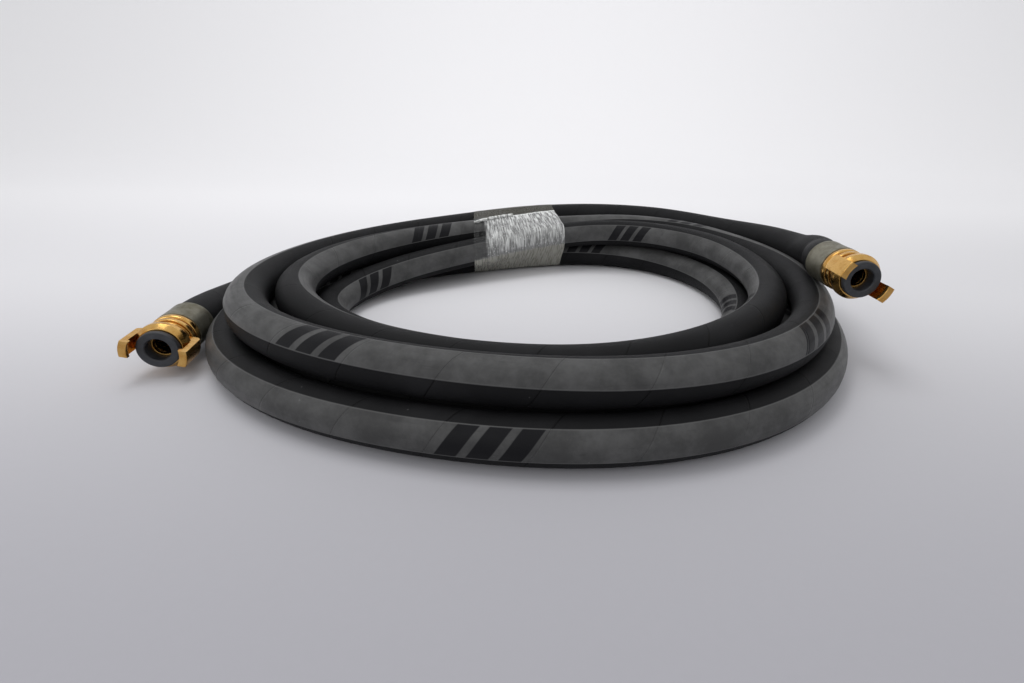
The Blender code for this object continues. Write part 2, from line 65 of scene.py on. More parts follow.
# ---------------------------------------------------------------- the hose's route
# Stations of the hose round the coil: how far it has travelled in degrees (0 is the right side,
# 90 the back), how many pitches it lies inside the outer floor turn, and how many pitches its
# axis lies above that of a hose on the floor.
STATIONS = (
    (0, -0.07, 1.68), (12, -0.33, 1.39), (24, -0.38, 1.29), (40, -0.42, 1.15), (60, -0.30, 1.22),
    (90, -0.06, 1.22), (135, 0.20, 1.04), (180, 0.50, 0.89), (225, 0.50, 0.93), (270, 0.50, 0.89),
    (315, 0.50, 0.87), (360, 0.50, 0.87), (390, 0.54, 0.89), (405, 0.70, 0.99), (420, 0.86, 1.02),
    (450, 1.00, 0.92), (475, 1.14, 1.01), (495, 1.28, 1.01), (540, 1.50, 0.90), (562, 1.63, 0.80),
    (585, 1.88, 0.54), (630, 1.93, 0.46), (675, 1.70, 0.76), (720, 1.55, 0.90), (745, 1.75, 1.01),
    (765, 1.90, 1.01), (810, 2.06, 0.86), (855, 2.18, 0.45), (900, 2.08, 0), (915, 2.32, 0),
    (930, 2.62, 0), (945, 2.80, 0), (990, 2.82, 0), (1035, 2.42, 0), (1080, 2.05, 0),
    (1125, 1.87, 0), (1170, 1.52, 0), (1215, 1.17, 0), (1260, 1.01, 0), (1350, 1.01, 0),
    (1440, 1.01, 0), (1485, 0.86, 0), (1530, 0.51, 0), (1575, 0.16, 0), (1620, 0, 0),
    (1710, 0, 0), (1800, 0, 0), (1845, -0.15, 0), (1890, -0.51, 0), (1935, -0.86, 0),
    (1980, -1.01, 0),
)
LAST_TRAVEL = STATIONS[-1][0]
COIL_RADIUS = 304.0 * MM
# The coil isn't round. These waves (waves a turn, depth, azimuth of a crest) shape its outer turn.
COIL_WAVES = ((2, 23.5 * MM, 25.6), (3, 14.3 * MM, -56.1))
TURN_GAP = 1.0 * MM
# The right ferrule's rear edge, placed as a station is, for a hose of this pitch and radius.
RIGHT_REAR = (-12.4, 0.25, 1.87)
REAR_PITCH = 39.0 * MM
REAR_RADIUS = 19.0 * MM
# The film's middle in degrees, and how it lifts the turns that lie on it.
FILM_MIDDLE = 104.0
FILM_LIFT = 1.6 * MM
FILM_LEVEL = 21.0
FILM_FADE = 55.0
# Corners of the film round the turns, and steps in which the turns' own outline is found.
FILM_COLUMNS = 360
HULL_STEPS = 720
# The film's seat on the hose, and how far round the section its ridge and its taut part start.
FILM_SEAT = 0.3 * MM
RIDGE_TURN = 1.2
TAUT_TURN = math.radians(206)
# Radius of the coil at which the lean of the film's right and left edges is measured.
START_RADIUS = 296.0 * MM
END_RADIUS = 268.0 * MM
# Steps of the hose between the coil and a ferrule.
END_RUN_STEPS = 14
# Travel between the hose's rings of corners.
HOSE_STEP = 2.5
# Edges of the hose that bend by more degrees than this stay sharp.
HOSE_SHARP = 60.0

# Travel angle and place on the hose of the stripe's middle: 0 faces out of the coil, 90 up.
STRIPE_TURNS = ((0, 30), (45, 35), (135, 48), (195, 57), (240, 58), (280, 48), (330, 40),
                (360, 52), (440, 100), (500, 138), (660, 160), (780, 170), (870, 168),
                (1150, 132), (1440, 70), (1620, 20), (1800, 18), (1980, 18))
# Span of travel over which the stripe's turn is eased.
STRIPE_EASE = 30.0
# Travel angle of the middle of each group of bars on the stripe.
BAR_GROUPS = (60, 146, 234, 319, 404, 497, 592, 688, 782, 884, 976, 1070, 1160, 1250, 1338,
              1426, 1518, 1610, 1702, 1790, 1878, 1960)


def coupling_frames():
    """Where each coupling's axis starts, at its ferrule's rear edge, and the way it points."""
    found = {}
    for joint in frame["record"]["behaviour"]["joints"]:
        side = joint["name"].split("_")[0]
        found[side] = (Vector(joint["pos_m"]), Vector(joint["axis"]).normalized())
    return found


COUPLINGS = coupling_frames()


def through(knots, column, place):
    """Cubic through the knots' values at one travel angle, level at both ends."""
    last = len(knots) - 2
    index = 0
    while index < last and place >= knots[index + 1][0]:
        index += 1

    def slope(i):
        if i in (0, len(knots) - 1):
            return 0.0
        before = knots[i][0] - knots[i - 1][0]
        after = knots[i + 1][0] - knots[i][0]
        rise_before = (knots[i][column] - knots[i - 1][column]) / before
        rise_after = (knots[i + 1][column] - knots[i][column]) / after
        return (rise_before * after + rise_after * before) / (before + after)

    span = knots[index + 1][0] - knots[index][0]
    t = (place - knots[index][0]) / span
    start, end = knots[index][column], knots[index + 1][column]
    return ((2 * t**3 - 3 * t**2 + 1) * start + (t**3 - 2 * t**2 + t) * span * slope(index)
            + (3 * t**2 - 2 * t**3) * end + (t**3 - t**2) * span * slope(index + 1))


def outer_turn(azimuth):
    """Point on the outer floor turn's axis, and the plan direction that points out of the coil."""
    a = math.radians(azimuth)
    radius, change = COIL_RADIUS, 0.0
    for waves, depth, crest in COIL_WAVES:
        phase = waves * (a - math.radians(crest))
        radius += depth * math.cos(phase)
        change -= waves * depth * math.sin(phase)
    point = Vector((radius * math.cos(a), radius * math.sin(a), 0.0))
    along = Vector((change * math.cos(a) - radius * math.sin(a),
                    change * math.sin(a) + radius * math.cos(a), 0.0)).normalized()
    return point, Vector((along.y, -along.x, 0.0))


def coil_middle():
    """Where the route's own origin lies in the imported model's frame."""
    azimuth, slot, height = RIGHT_REAR
    point, outward = outer_turn(azimuth)
    rear = point - outward * (slot * REAR_PITCH)
    rear.z = REAR_RADIUS + height * REAR_PITCH
    return COUPLINGS["right"][0] - rear


COIL_MIDDLE = coil_middle()


def film_lift(azimuth):
    """Height that the film under the turns lifts them by, fading out on both sides of it."""
    off = max(0.0, abs(azimuth % 360.0 - FILM_MIDDLE) - FILM_LEVEL) / FILM_FADE
    return 0.0 if off >= 1.0 else FILM_LIFT * (math.cos(off * math.pi) + 1) / 2


def coil_place(travel, diameter):
    """The hose's axis at one travel angle: how far out of the outer turn, and how high."""
    pitch = diameter + TURN_GAP
    height = diameter / 2 + through(STATIONS, 2, travel) * pitch + film_lift(travel)
    return -through(STATIONS, 1, travel) * pitch, height


def coil_point(travel, diameter):
    """The hose's axis at one travel angle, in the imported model's frame."""
    point, outward = outer_turn(travel)
    out, height = coil_place(travel, diameter)
    return COIL_MIDDLE + point + outward * out + Vector((0.0, 0.0, height))


def end_run(start, start_way, end, end_way):
    """Points between the coil and a ferrule, on a cubic that leaves and meets both straight."""
    reach = (end - start).length / 3
    points = []
    for step in range(1, END_RUN_STEPS):
        t = step / END_RUN_STEPS
        points.append((1 - t)**3 * start + 3 * (1 - t)**2 * t * (start + start_way * reach)
                      + 3 * (1 - t) * t**2 * (end - end_way * reach) + t**3 * end)
    return points


def hose_run(diameter, step):
    """The whole hose as (point, travel angle) pairs, from the right ferrule to the left one."""
    count = round(LAST_TRAVEL / step)
    coil = [(coil_point(LAST_TRAVEL * i / count, diameter), LAST_TRAVEL * i / count)
            for i in range(count + 1)]
    nudge = 1.0
    way_in = (coil_point(nudge, diameter) - coil[0][0]).normalized()
    way_out = (coil[-1][0] - coil_point(LAST_TRAVEL - nudge, diameter)).normalized()
    runs = []
    for side, way, end in (("right", way_in, coil[0]), ("left", -way_out, coil[-1])):
        rear, aim = COUPLINGS[side]
        inside = [(rear + aim * HOSE_END * k / 4, end[1]) for k in range(4, -1, -1)]
        runs.append(inside + [(p, end[1]) for p in end_run(rear, -aim, end[0], way)])
    return runs[0] + coil + runs[1][::-1]


# ---------------------------------------------------------------- sizes along a coupling's axis
CLEARANCE = 0.3 * MM
FERRULE_LENGTH = 31.0 * MM
FERRULE_LIP = 3.0 * MM
COLLAR_LENGTH = 2.0 * MM
BEAD_LENGTH = 6.6 * MM
WASHER_THICKNESS = 1.0 * MM
HEAD_RING_LENGTH = 5.6 * MM
HEAD_NECK_LENGTH = 8.4 * MM
FLANGE_LENGTH = 5.4 * MM
FLANGE_RAMP = 4.6 * MM
SEAL_FACE_THICKNESS = 5.4 * MM
SEAL_PLUG_LENGTH = 5.6 * MM
CLAW_REACH = 8.6 * MM
SPIGOT_LENGTH = 15.0 * MM

HOSE_END = FERRULE_LENGTH - FERRULE_LIP - COLLAR_LENGTH - 2 * CLEARANCE
COLLAR_START = HOSE_END + CLEARANCE
BEAD_START = FERRULE_LENGTH + CLEARANCE
SPIGOT_START = BEAD_START + BEAD_LENGTH
HEAD_START = SPIGOT_START + WASHER_THICKNESS + 2 * CLEARANCE
NECK_START = HEAD_START + HEAD_RING_LENGTH
FLANGE_START = NECK_START + HEAD_NECK_LENGTH
RAMP_START = FLANGE_START + FLANGE_LENGTH
HEAD_FRONT = RAMP_START + FLANGE_RAMP
SPIGOT_END = SPIGOT_START + SPIGOT_LENGTH
SEAL_SEAT = HEAD_FRONT - SEAL_PLUG_LENGTH - CLEARANCE
SEAL_FACE = HEAD_FRONT + CLEARANCE + SEAL_FACE_THICKNESS
CLAW_TIP = SEAL_FACE + CLAW_REACH
CLAW_TILTS = {"right": -29.0, "left": -16.0}

FERRULE_INNER = 19.5 * MM
FERRULE_RADIUS = 20.7 * MM
COLLAR_RADIUS = 18.7 * MM
GROOVE_RADIUS = 15.5 * MM
STEM_BORE = 9.05 * MM
STEM_TAIL = 11.25 * MM
BARB_DEPTH = 0.8 * MM
BARB_PITCH = 8.0 * MM
BARB_COUNT = 3
BEAD_RADIUS = 20.5 * MM
SPIGOT_RADIUS = 13.4 * MM
HEAD_BORE = 13.8 * MM
HEAD_RING_RADIUS = 19.8 * MM
HEAD_NECK_RADIUS = 16.8 * MM
FLANGE_RADIUS = 21.4 * MM
FLANGE_NOSE_RADIUS = 18.0 * MM
SEAL_RADIUS = 17.0 * MM
SEAL_BORE = 10.2 * MM
SEAL_PLUG = 13.4 * MM
CLAW_LIP_RADIUS = 20.0 * MM
CLAW_LIP_DEPTH = 2.0 * MM
CLAW_LIP_LENGTH = 4.0 * MM
CLAW_THICKNESS = 4.4 * MM
CLAW_WIDTH = 15.0 * MM
CLAW_ROOT_RADIUS = 15.2 * MM
# Grooves in the spigot: how far along it, half the width and the depth.
REAR_GROOVE = (3.6 * MM, 1.2 * MM, 1.8 * MM)
SNAP_GROOVE = (7.8 * MM, 1.05 * MM, 1.05 * MM)
FRONT_GROOVE = (12.0 * MM, 1.2 * MM, 1.8 * MM)


# ---------------------------------------------------------------- what a user would change
def length_value(name, description, default, **limits):
    return FloatProperty(name=name, description=description, default=default, unit="LENGTH",
                         **limits)


def angle_value(name, description, degrees):
    return FloatProperty(name=name, description=description, default=math.radians(degrees),
                         subtype="ANGLE")


def colour_value(name, description, default):
    return FloatVectorProperty(name=name, description=description, default=default,
                               subtype="COLOR", size=3, min=0, max=1)


class HoseSettings(PropertyGroup):
    diameter: length_value("Outside diameter", "Across the hose's cover", 0.038, min=0.01, max=0.1)
    cover_wall: length_value("Cover wall", "Thickness of the rubber cover", 0.0021, min=0.0005)
    bore: length_value("Bore", "Across the inside of the liner", 0.025, min=0.005)
    liner_wall: length_value(
        "Liner wall", "Thickness of the inner rubber tube", 0.0024, min=0.0005)
    stripe_reach: angle_value("Stripe reach", "Angle from the stripe's middle to its edge", 38.0)
    stripe_rise: length_value("Stripe rise", "Height of the stripe over the cover", 0.00018)
    seam_pitch: length_value("Wrap pitch", "Distance between the marks of the curing wrap", 0.07)
    weave_pitch: length_value(
        "Cloth pitch", "Distance between threads in the cloth impression", 0.0011)
    bar_width: length_value("Bar width", "Width of one slanted bar, along the hose", 0.015)
    bar_pitch: length_value("Bar pitch", "Distance between bars in a group", 0.0215)
    bar_lean: angle_value("Bar lean", "How far a bar leans along the hose", 33.0)
    cover_colour: colour_value("Cover", "Colour of the rubber cover", (0.0088, 0.0088, 0.0096))
    stripe_colour: colour_value("Stripe", "Colour of the raised stripe", (0.054, 0.054, 0.054))
    bar_colour: colour_value("Bars", "Colour of the bars on the stripe", (0.006, 0.006, 0.0075))


class FilmSettings(PropertyGroup):
    start: angle_value("Start", "Azimuth of the band's right edge", 90.4)
    end: angle_value("End", "Azimuth of the band's left edge", 117.0)
    start_lean: angle_value("Right lean", "Slant of the right edge across the turns", 3.5)
    end_lean: angle_value("Left lean", "Slant of the left edge across the turns", 25.0)
    wrinkle: length_value("Wrinkle height", "Height of the largest wrinkles", 0.0013)
    thickness: length_value("Thickness", "Thickness of the wound film", 0.0003)
    colour: colour_value("Film", "Colour of the gathered film", (0.90, 0.91, 0.90))
    taut_colour: colour_value(
        "Taut film", "Colour of the film where it is drawn tight",
        (0.30, 0.295, 0.26))


class CouplingSettings(PropertyGroup):
    sides: IntProperty(
        name="Turned sides", description="Flat sides that a turned piece is made of",
        default=96, min=24, max=256)
    crimp_depth: length_value(
        "Crimp depth", "How far the crimping jaws flatten the ferrule", 0.00015)
    crimp_jaws: IntProperty(
        name="Crimping jaws", description="Number of flats round the ferrule", default=8, min=3)
    edge: length_value("Edge rounding", "Rounding of the brass pieces' edges", 0.0005)
    brass_colour: colour_value("Brass", "Colour of the clean brass", (0.68, 0.41, 0.13))
    steel_colour: colour_value("Ferrule", "Colour of the plated ferrule", (0.215, 0.205, 0.16))
    seal_colour: colour_value("Seal", "Colour of the rubber face seal", (0.024, 0.026, 0.031))


class StageSettings(PropertyGroup):
    floor_colour: colour_value("Floor", "Colour of the studio floor", (0.955, 0.95, 0.965))
    # Darker floor colour in front: painted shade in place of less light reaching the floor there.
    near_colour: colour_value(
        "Floor in front", "Colour that the floor's paper fades to in front",
        (0.425, 0.420, 0.455))
    key_power: FloatProperty(
        name="Key light", description="Power of the large light overhead",
        default=9.0, unit="POWER")
    rim_power: FloatProperty(
        name="Wall light", description="Power of the light on the wall behind",
        default=20.0, unit="POWER")
    lens: FloatProperty(
        name="Lens", description="Focal length of the camera in millimetres", default=18.0)


# ---------------------------------------------------------------- node layouts
class Finish:
    """Lays out one procedural material, node by node."""

    def __init__(self, name, **values):
        self.material = bpy.data.materials.new(name)
        self.material.use_nodes = True
        self.tree = self.material.node_tree
        self.sockets = {socket.name.lower().replace(" ", "_"): socket
                        for socket in self.tree.nodes["Principled BSDF"].inputs}
        self.shade(**values)

    def wire(self, socket, value):
        """Links a socket to another one, or sets its value."""
        if isinstance(value, bpy.types.NodeSocket):
            self.tree.links.new(value, socket)
        elif hasattr(value, "__len__") and socket.type == "RGBA" and len(value) == 3:
            socket.default_value = (*value, 1.0)
        else:
            socket.default_value = value

    def node(self, kind, inputs, **settings):
        made = self.tree.nodes.new(kind)
        for key, value in settings.items():
            setattr(made, key, value)
        for key, value in inputs.items():
            self.wire(made.inputs[key], value)
        return made

    def shade(self, **values):
        for key, value in values.items():
            self.wire(self.sockets[key], value)
        return self.material

    def math(self, operation, *values):
        return self.node("ShaderNodeMath", dict(enumerate(values)), operation=operation).outputs[0]

    def times(self, first, second):
        return self.math("MULTIPLY", first, second)

    def plus(self, first, second):
        return self.math("ADD", first, second)

    def minus(self, first, second):
        return self.math("SUBTRACT", first, second)

    def larger(self, first, second):
        return self.math("MAXIMUM", first, second)

    def size(self, value):
        return self.math("ABSOLUTE", value)

    def ramp(self, value, low, high, start=0.0, end=1.0):
        """Smooth step from start to end as value goes from low to high."""
        inputs = {"Value": value, "From Min": low, "From Max": high, "To Min": start,
                  "To Max": end}
        return self.node("ShaderNodeMapRange", inputs,
                         interpolation_type="SMOOTHSTEP").outputs["Result"]

    def mix(self, factor, first, second):
        inputs = {0: factor, 6: first, 7: second}
        return self.node("ShaderNodeMix", inputs, data_type="RGBA").outputs[2]

    def blend(self, factor, first, second):
        """Number between two others."""
        return self.plus(first, self.times(factor, self.minus(second, first)))

    def run(self, name):
        """The two coordinates of one of the piece's own maps."""
        place = self.node("ShaderNodeUVMap", {}, uv_map=name).outputs["UV"]
        parts = self.node("ShaderNodeSeparateXYZ", {0: place}).outputs
        return place, parts["X"], parts["Y"]

    def place(self):
        """Coordinates in the piece's own space, in metres."""
        return self.node("ShaderNodeTexCoord", {}).outputs["Object"]

    def stretch(self, vector, *scale):
        return self.node("ShaderNodeVectorMath", {0: vector, 1: scale},
                         operation="MULTIPLY").outputs["Vector"]

    def noise(self, vector, scale, detail=3.0, roughness=0.5, distortion=0.0):
        inputs = {"Vector": vector, "Scale": scale, "Detail": detail, "Roughness": roughness,
                  "Distortion": distortion}
        return self.node("ShaderNodeTexNoise", inputs).outputs["Fac"]

    def bump(self, height, distance, strength=1.0):
        inputs = {"Height": height, "Distance": distance, "Strength": strength}
        return self.node("ShaderNodeBump", inputs).outputs["Normal"]


def tinted(colour, *factors, lift=0.0):
    """A colour made lighter or darker, by one factor or by one for each channel."""
    return [c * k + lift for c, k in zip(colour, factors * (3 // len(factors)))]


def cover_finish(look):
    """Black cloth-cured rubber with a grey stripe, groups of slanted bars and wrap marks."""
    f = Finish("cover_finish", specular_ior_level=0.10)
    _, around, along = f.run("HoseRun")
    _, _, from_group = f.run("BarRun")
    place = f.place()
    girth = math.pi * look.diameter
    away = f.size(f.times(f.minus(around, 0.5), 360.0))
    across = f.times(f.minus(around, 0.5), girth)

    reach = math.degrees(look.stripe_reach)
    stripe = f.ramp(away, reach - 1.0, reach, 1.0, 0.0)
    # Thin band along both edges of the stripe, used below for a painted highlight.
    edge = f.times(f.ramp(away, reach - 3.2, reach - 1.6),
                   f.ramp(away, reach + 0.2, reach + 1.6, 1.0, 0.0))

    threads = 2 * math.pi / look.weave_pitch
    weave = f.times(f.math("SINE", f.times(along, threads)),
                    f.math("SINE", f.times(across, threads)))
    turn = f.minus(f.math("DIVIDE", along, look.seam_pitch), around)
    seam = f.ramp(f.math("PINGPONG", turn, 0.5), 0.486, 0.497)
    lap = f.ramp(f.math("PINGPONG", turn, 0.5), 0.30, 0.5)
    clouds = f.noise(place, 14.0, 5.0, 0.6)
    grain = f.noise(place, 900.0, 2.0, 0.6)
    streaks = f.noise(f.stretch(f.node("ShaderNodeCombineXYZ", {0: along, 1: across}).outputs[0],
                                30.0, 260.0, 1.0), 1.0, 4.0, 0.6)

    rubber = f.mix(f.ramp(clouds, 0.42, 0.72, 0.0, 0.8), look.cover_colour,
                   tinted(look.cover_colour, 1.7, lift=0.002))
    rubber = f.mix(f.times(seam, 0.7), rubber, (0.003, 0.003, 0.003))

    grey = f.mix(f.ramp(f.noise(place, 26.0, 8.0, 0.68), 0.36, 0.68), look.stripe_colour,
                 tinted(look.stripe_colour, 1.75))
    grey = f.mix(f.ramp(streaks, 0.55, 0.78, 0.0, 0.30), grey, tinted(look.stripe_colour, 0.6))
    leaned = f.minus(from_group, f.times(across, math.tan(look.bar_lean)))
    fold = f.math("PINGPONG", f.plus(leaned, look.bar_pitch * 10), look.bar_pitch / 2)
    half, soft = look.bar_width / 2, 0.0006
    whole = look.bar_pitch + half
    bars = f.ramp(fold, half - soft, half + soft, 1.0, 0.0)
    bars = f.times(bars, f.ramp(f.size(leaned), whole, whole + soft, 1.0, 0.0))
    bars = f.times(bars, f.ramp(away, reach - 2.0, reach - 0.8, 1.0, 0.0))
    grey = f.mix(f.times(bars, 0.94), grey, look.bar_colour)

    colour = f.mix(stripe, rubber, grey)
    # Painted highlight: the stripe's raised edges are painted lighter than the rest of the stripe.
    colour = f.mix(f.times(edge, 0.55), colour, tinted(look.stripe_colour, 2.1))
    scuffs = f.ramp(f.noise(f.stretch(place, 1.0, 1.0, 1.6), 210.0, 1.0, 0.5), 0.80, 0.84)
    colour = f.mix(f.times(scuffs, 0.18), colour, (0.30, 0.30, 0.30))

    rough = f.ramp(clouds, 0.3, 0.75, 0.52, 0.64)
    smooth = f.ramp(streaks, 0.3, 0.8, 0.36, 0.50)
    roughness = f.plus(f.times(rough, f.minus(1.0, stripe)), f.times(smooth, stripe))

    cloth = f.times(weave, f.ramp(stripe, 0.0, 1.0, 0.30, 0.08))
    height = f.plus(f.plus(cloth, f.times(grain, 0.5)),
                    f.minus(f.times(lap, 0.8), f.times(seam, 2.2)))
    height = f.plus(height, f.times(bars, -0.5))
    return f.shade(base_color=colour, roughness=roughness,
                   normal=f.bump(height, 0.00022, 0.8))


def ply_finish():
    """Braided textile: two sets of strands crossing on the slant."""
    f = Finish("ply_finish")
    _, around, along = f.run("HoseRun")
    strands, slope = 48.0, 420.0
    turn, lean = f.times(around, strands * 2 * math.pi), f.times(along, slope)
    braid = f.larger(f.math("SINE", f.plus(turn, lean)), f.math("SINE", f.minus(turn, lean)))
    colour = f.mix(f.ramp(braid, -0.2, 0.9), (0.20, 0.17, 0.12), (0.50, 0.45, 0.35))
    return f.shade(base_color=colour, roughness=0.85, sheen_weight=0.2,
                   normal=f.bump(braid, 0.0004, 0.8))


def liner_finish():
    """Smooth extruded rubber with faint flow lines."""
    f = Finish("liner_finish")
    flow = f.noise(f.stretch(f.run("HoseRun")[0], 40.0, 3.0, 1.0), 1.0, 3.0)
    return f.shade(base_color=f.mix(flow, (0.014, 0.014, 0.014), (0.026, 0.025, 0.025)),
                   roughness=f.ramp(flow, 0.3, 0.7, 0.38, 0.5), normal=f.bump(flow, 0.0001, 0.5))


def brass_finish(look):
    """Bright machined brass: turning marks, a warm tarnish in patches and small dents."""
    f = Finish("brass_finish", metallic=1.0)
    place = f.place()
    patches = f.noise(place, 130.0, 4.0, 0.55)
    colour = f.mix(f.ramp(patches, 0.40, 0.72), look.brass_colour,
                   tinted(look.brass_colour, 0.80, 0.68, 0.50))
    marks = f.noise(f.stretch(place, 60.0, 60.0, 4200.0), 1.0, 2.0, 0.6)
    dents = f.noise(place, 620.0, 2.0, 0.5)
    height = f.plus(f.times(marks, 0.55), f.times(dents, 0.6))
    return f.shade(base_color=colour, roughness=f.ramp(patches, 0.3, 0.7, 0.17, 0.30),
                   normal=f.bump(height, 0.00006, 0.55))


def steel_finish(look):
    """Dull zinc-plated steel with a spangled, slightly yellow skin."""
    f = Finish("steel_finish", metallic=0.85)
    place = f.place()
    spangle = f.noise(place, 240.0, 3.0, 0.6)
    bloom = f.noise(place, 60.0, 4.0, 0.6)
    colour = f.mix(f.ramp(bloom, 0.4, 0.7), look.steel_colour,
                   tinted(look.steel_colour, 0.62, 0.60, 0.52))
    drawn = f.noise(f.stretch(place, 900.0, 900.0, 30.0), 1.0, 2.0)
    height = f.plus(f.times(spangle, 0.6), f.times(drawn, 0.4))
    return f.shade(base_color=colour, roughness=f.ramp(spangle, 0.3, 0.7, 0.38, 0.52),
                   normal=f.bump(height, 0.00008, 0.5))


def seal_finish(look):
    """Slate moulded rubber, a little dusty."""
    f = Finish("seal_finish")
    place = f.place()
    dust = f.noise(place, 180.0, 4.0, 0.6)
    grain = f.noise(place, 1500.0, 2.0)
    return f.shade(base_color=f.mix(f.ramp(dust, 0.4, 0.75, 0.0, 0.6), look.seal_colour,
                                    tinted(look.seal_colour, 1.7, lift=0.01)),
                   roughness=f.ramp(dust, 0.3, 0.7, 0.46, 0.60),
                   normal=f.bump(grain, 0.00005, 0.6))


def spring_finish():
    """Drawn spring wire."""
    f = Finish("spring_finish", metallic=1.0)
    drawn = f.noise(f.place(), 700.0, 2.0)
    return f.shade(base_color=f.mix(drawn, (0.36, 0.36, 0.37), (0.55, 0.55, 0.56)),
                   roughness=f.ramp(drawn, 0.3, 0.7, 0.25, 0.4))


def washer_finish():
    """Plain low-friction plastic."""
    f = Finish("washer_finish")
    flow = f.noise(f.place(), 320.0, 3.0)
    return f.shade(base_color=f.mix(flow, (0.50, 0.47, 0.40), (0.66, 0.62, 0.54)),
                   roughness=0.5, normal=f.bump(flow, 0.00005, 0.5))


def film_finish(look):
    """Stretch film: white ridges where it is gathered, clearer where it is drawn tight."""
    f = Finish("film_finish")
    run, across, _ = f.run("FilmRun")
    _, from_ridge, from_taut = f.run("FilmZone")
    streaks = f.noise(f.stretch(run, 470.0, 44.0, 1.0), 1.0, 4.0, 0.64, 0.2)
    specks = f.ramp(f.noise(f.stretch(run, 640.0, 300.0, 1.0), 1.0, 2.0, 0.5), 0.60, 0.70)
    ragged = f.noise(f.stretch(run, 300.0, 12.0, 1.0), 1.0, 3.0, 0.6)
    ragged = f.times(f.minus(ragged, 0.5), 0.007)
    off = f.plus(from_ridge, ragged)
    ridge = f.ramp(f.size(off), 0.0012, 0.0052, 1.0, 0.0)
    # Gathered film lies inside the ridge and on the coil's outer side, clear film between them.
    body = f.larger(f.ramp(off, -0.0015, 0.0005), f.ramp(off, -0.070, -0.058, 1.0, 0.0))
    taut = f.ramp(f.plus(from_taut, ragged), -0.003, 0.002)

    # Painted shade: the white streaks are painted dimmer away from the ridge on top, and darkest
    # along the fold where the film turns taut.
    fold = f.ramp(f.size(f.plus(from_taut, 0.003)), 0.001, 0.006, 0.35, 1.0)
    painted_streak_shade = f.times(f.ramp(from_ridge, 0.0, 0.045, 1.0, 0.66), fold)
    white = f.times(f.ramp(streaks, 0.38, 0.68), painted_streak_shade)
    white = f.larger(f.larger(white, f.times(specks, 0.85)), ridge)
    crinkled = f.mix(white, tinted(look.colour, 0.26), look.colour)
    smooth = f.mix(f.ramp(streaks, 0.35, 0.70), look.taut_colour, tinted(look.taut_colour, 1.45))
    colour = f.mix(taut, crinkled, smooth)
    colour = f.mix(body, tinted(look.taut_colour, 0.32, 0.31, 0.26), colour)

    clear = f.ramp(white, 0.0, 0.6, 0.62, 0.97)
    left = f.ramp(across, 0.108, 0.116, 1.0, 0.035)
    alpha = f.blend(taut, f.times(clear, left), f.ramp(streaks, 0.3, 0.7, 0.62, 0.82))
    alpha = f.blend(body, 0.34, alpha)
    height = f.plus(f.times(streaks, f.ramp(taut, 0.0, 1.0, 1.0, 0.15)),
                    f.times(specks, f.ramp(taut, 0.0, 1.0, 0.3, 0.0)))
    return f.shade(base_color=colour, alpha=alpha, roughness=f.ramp(streaks, 0.3, 0.7, 0.22, 0.36),
                   specular_ior_level=f.ramp(body, 0.0, 1.0, 0.2, 0.55),
                   normal=f.bump(height, 0.0011, 0.9))


# ---------------------------------------------------------------- meshes
def add_piece(name, mesh, material, body, place=None):
    """One visible piece with its finish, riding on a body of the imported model."""
    mesh.materials.clear()
    mesh.materials.append(material)
    piece = bpy.data.objects.new(name, mesh)
    bpy.context.scene.collection.objects.link(piece)
    if place is not None:
        piece.matrix_world = place
    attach(piece, body)
    return piece


def smoothed(mesh, sharp):
    """The mesh, smooth across edges that are shallower than sharp, in degrees."""
    mesh.shade_smooth()
    mesh.set_sharp_from_angle(angle=math.radians(sharp))
    return mesh


def smooth_mesh(name, verts, faces, sharp=35.0):
    """Mesh of the given corners and faces, smooth across its shallow edges."""
    mesh = bpy.data.meshes.new(name)
    mesh.from_pydata(verts, [], faces)
    return smoothed(mesh, sharp)


def closed_mesh(name, verts, faces, sharp=35.0):
    """Smooth mesh of a closed skin, with all its faces pointing out."""
    mesh = smooth_mesh(name, verts, faces, sharp)
    bm = bmesh.new()
    bm.from_mesh(mesh)
    bmesh.ops.recalc_face_normals(bm, faces=bm.faces)
    bm.to_mesh(mesh)
    bm.free()
    return mesh


def ring_faces(here, there, count, inward=False):
    """Faces between two closed rings of corners, which start at here and at there."""
    made = []
    for k in range(count):
        m = (k + 1) % count
        made.append((here + k, there + k, there + m, here + m) if inward
                    else (here + k, here + m, there + m, there + k))
    return made


def finish_of(make, *values):
    """A finish, made the first time that a piece asks for it."""
    return bpy.data.materials.get(make.__name__) or make(*values)


def straight_between(knots, place):
    """Straight-line value between knots of (place, value)."""
    for (low, start), (high, end) in zip(knots, knots[1:]):
        if place <= high:
            return start + (end - start) * (place - low) / (high - low)
    return knots[-1][1]


def stripe_angle(travel):
    """Turn of the stripe's middle round the hose, in radians, eased over its neighbours."""
    near = [straight_between(STRIPE_TURNS,
                             min(max(travel + STRIPE_EASE * k / 4, 0.0), LAST_TRAVEL))
            for k in range(-4, 5)]
    return math.radians(sum(near) / len(near))


def section_frame(points, index):
    """Directions out of the coil and up, square to the hose at one of its points."""
    along = (points[min(index + 1, len(points) - 1)] - points[max(index - 1, 0)]).normalized()
    outward = along.cross(Vector((0.0, 0.0, 1.0))).normalized()
    return outward, outward.cross(along)


def cover_offsets(look):
    """Angles of the cover's corners from the stripe's middle, closer along the stripe's edges."""
    reach = math.degrees(look.stripe_reach)
    inside = [reach * k / 7 for k in range(7)]
    edge = [reach - 2.6, reach - 1.3, reach, reach + 1.2]
    outside = [reach + 4 + (180 - reach - 4) * k / 13 for k in range(14)]
    half = [a for a in inside if a < reach - 3] + edge + outside
    return [-a for a in half[:0:-1]] + half


def cover_radius(look, offset):
    """Height of the cover's skin at one angle from the stripe's middle."""
    away = abs(offset)
    reach = math.degrees(look.stripe_reach)
    base = look.diameter / 2 - look.stripe_rise
    if away > reach:
        return base
    if away > reach - 3:
        return base + look.stripe_rise * 1.6
    return base + look.stripe_rise


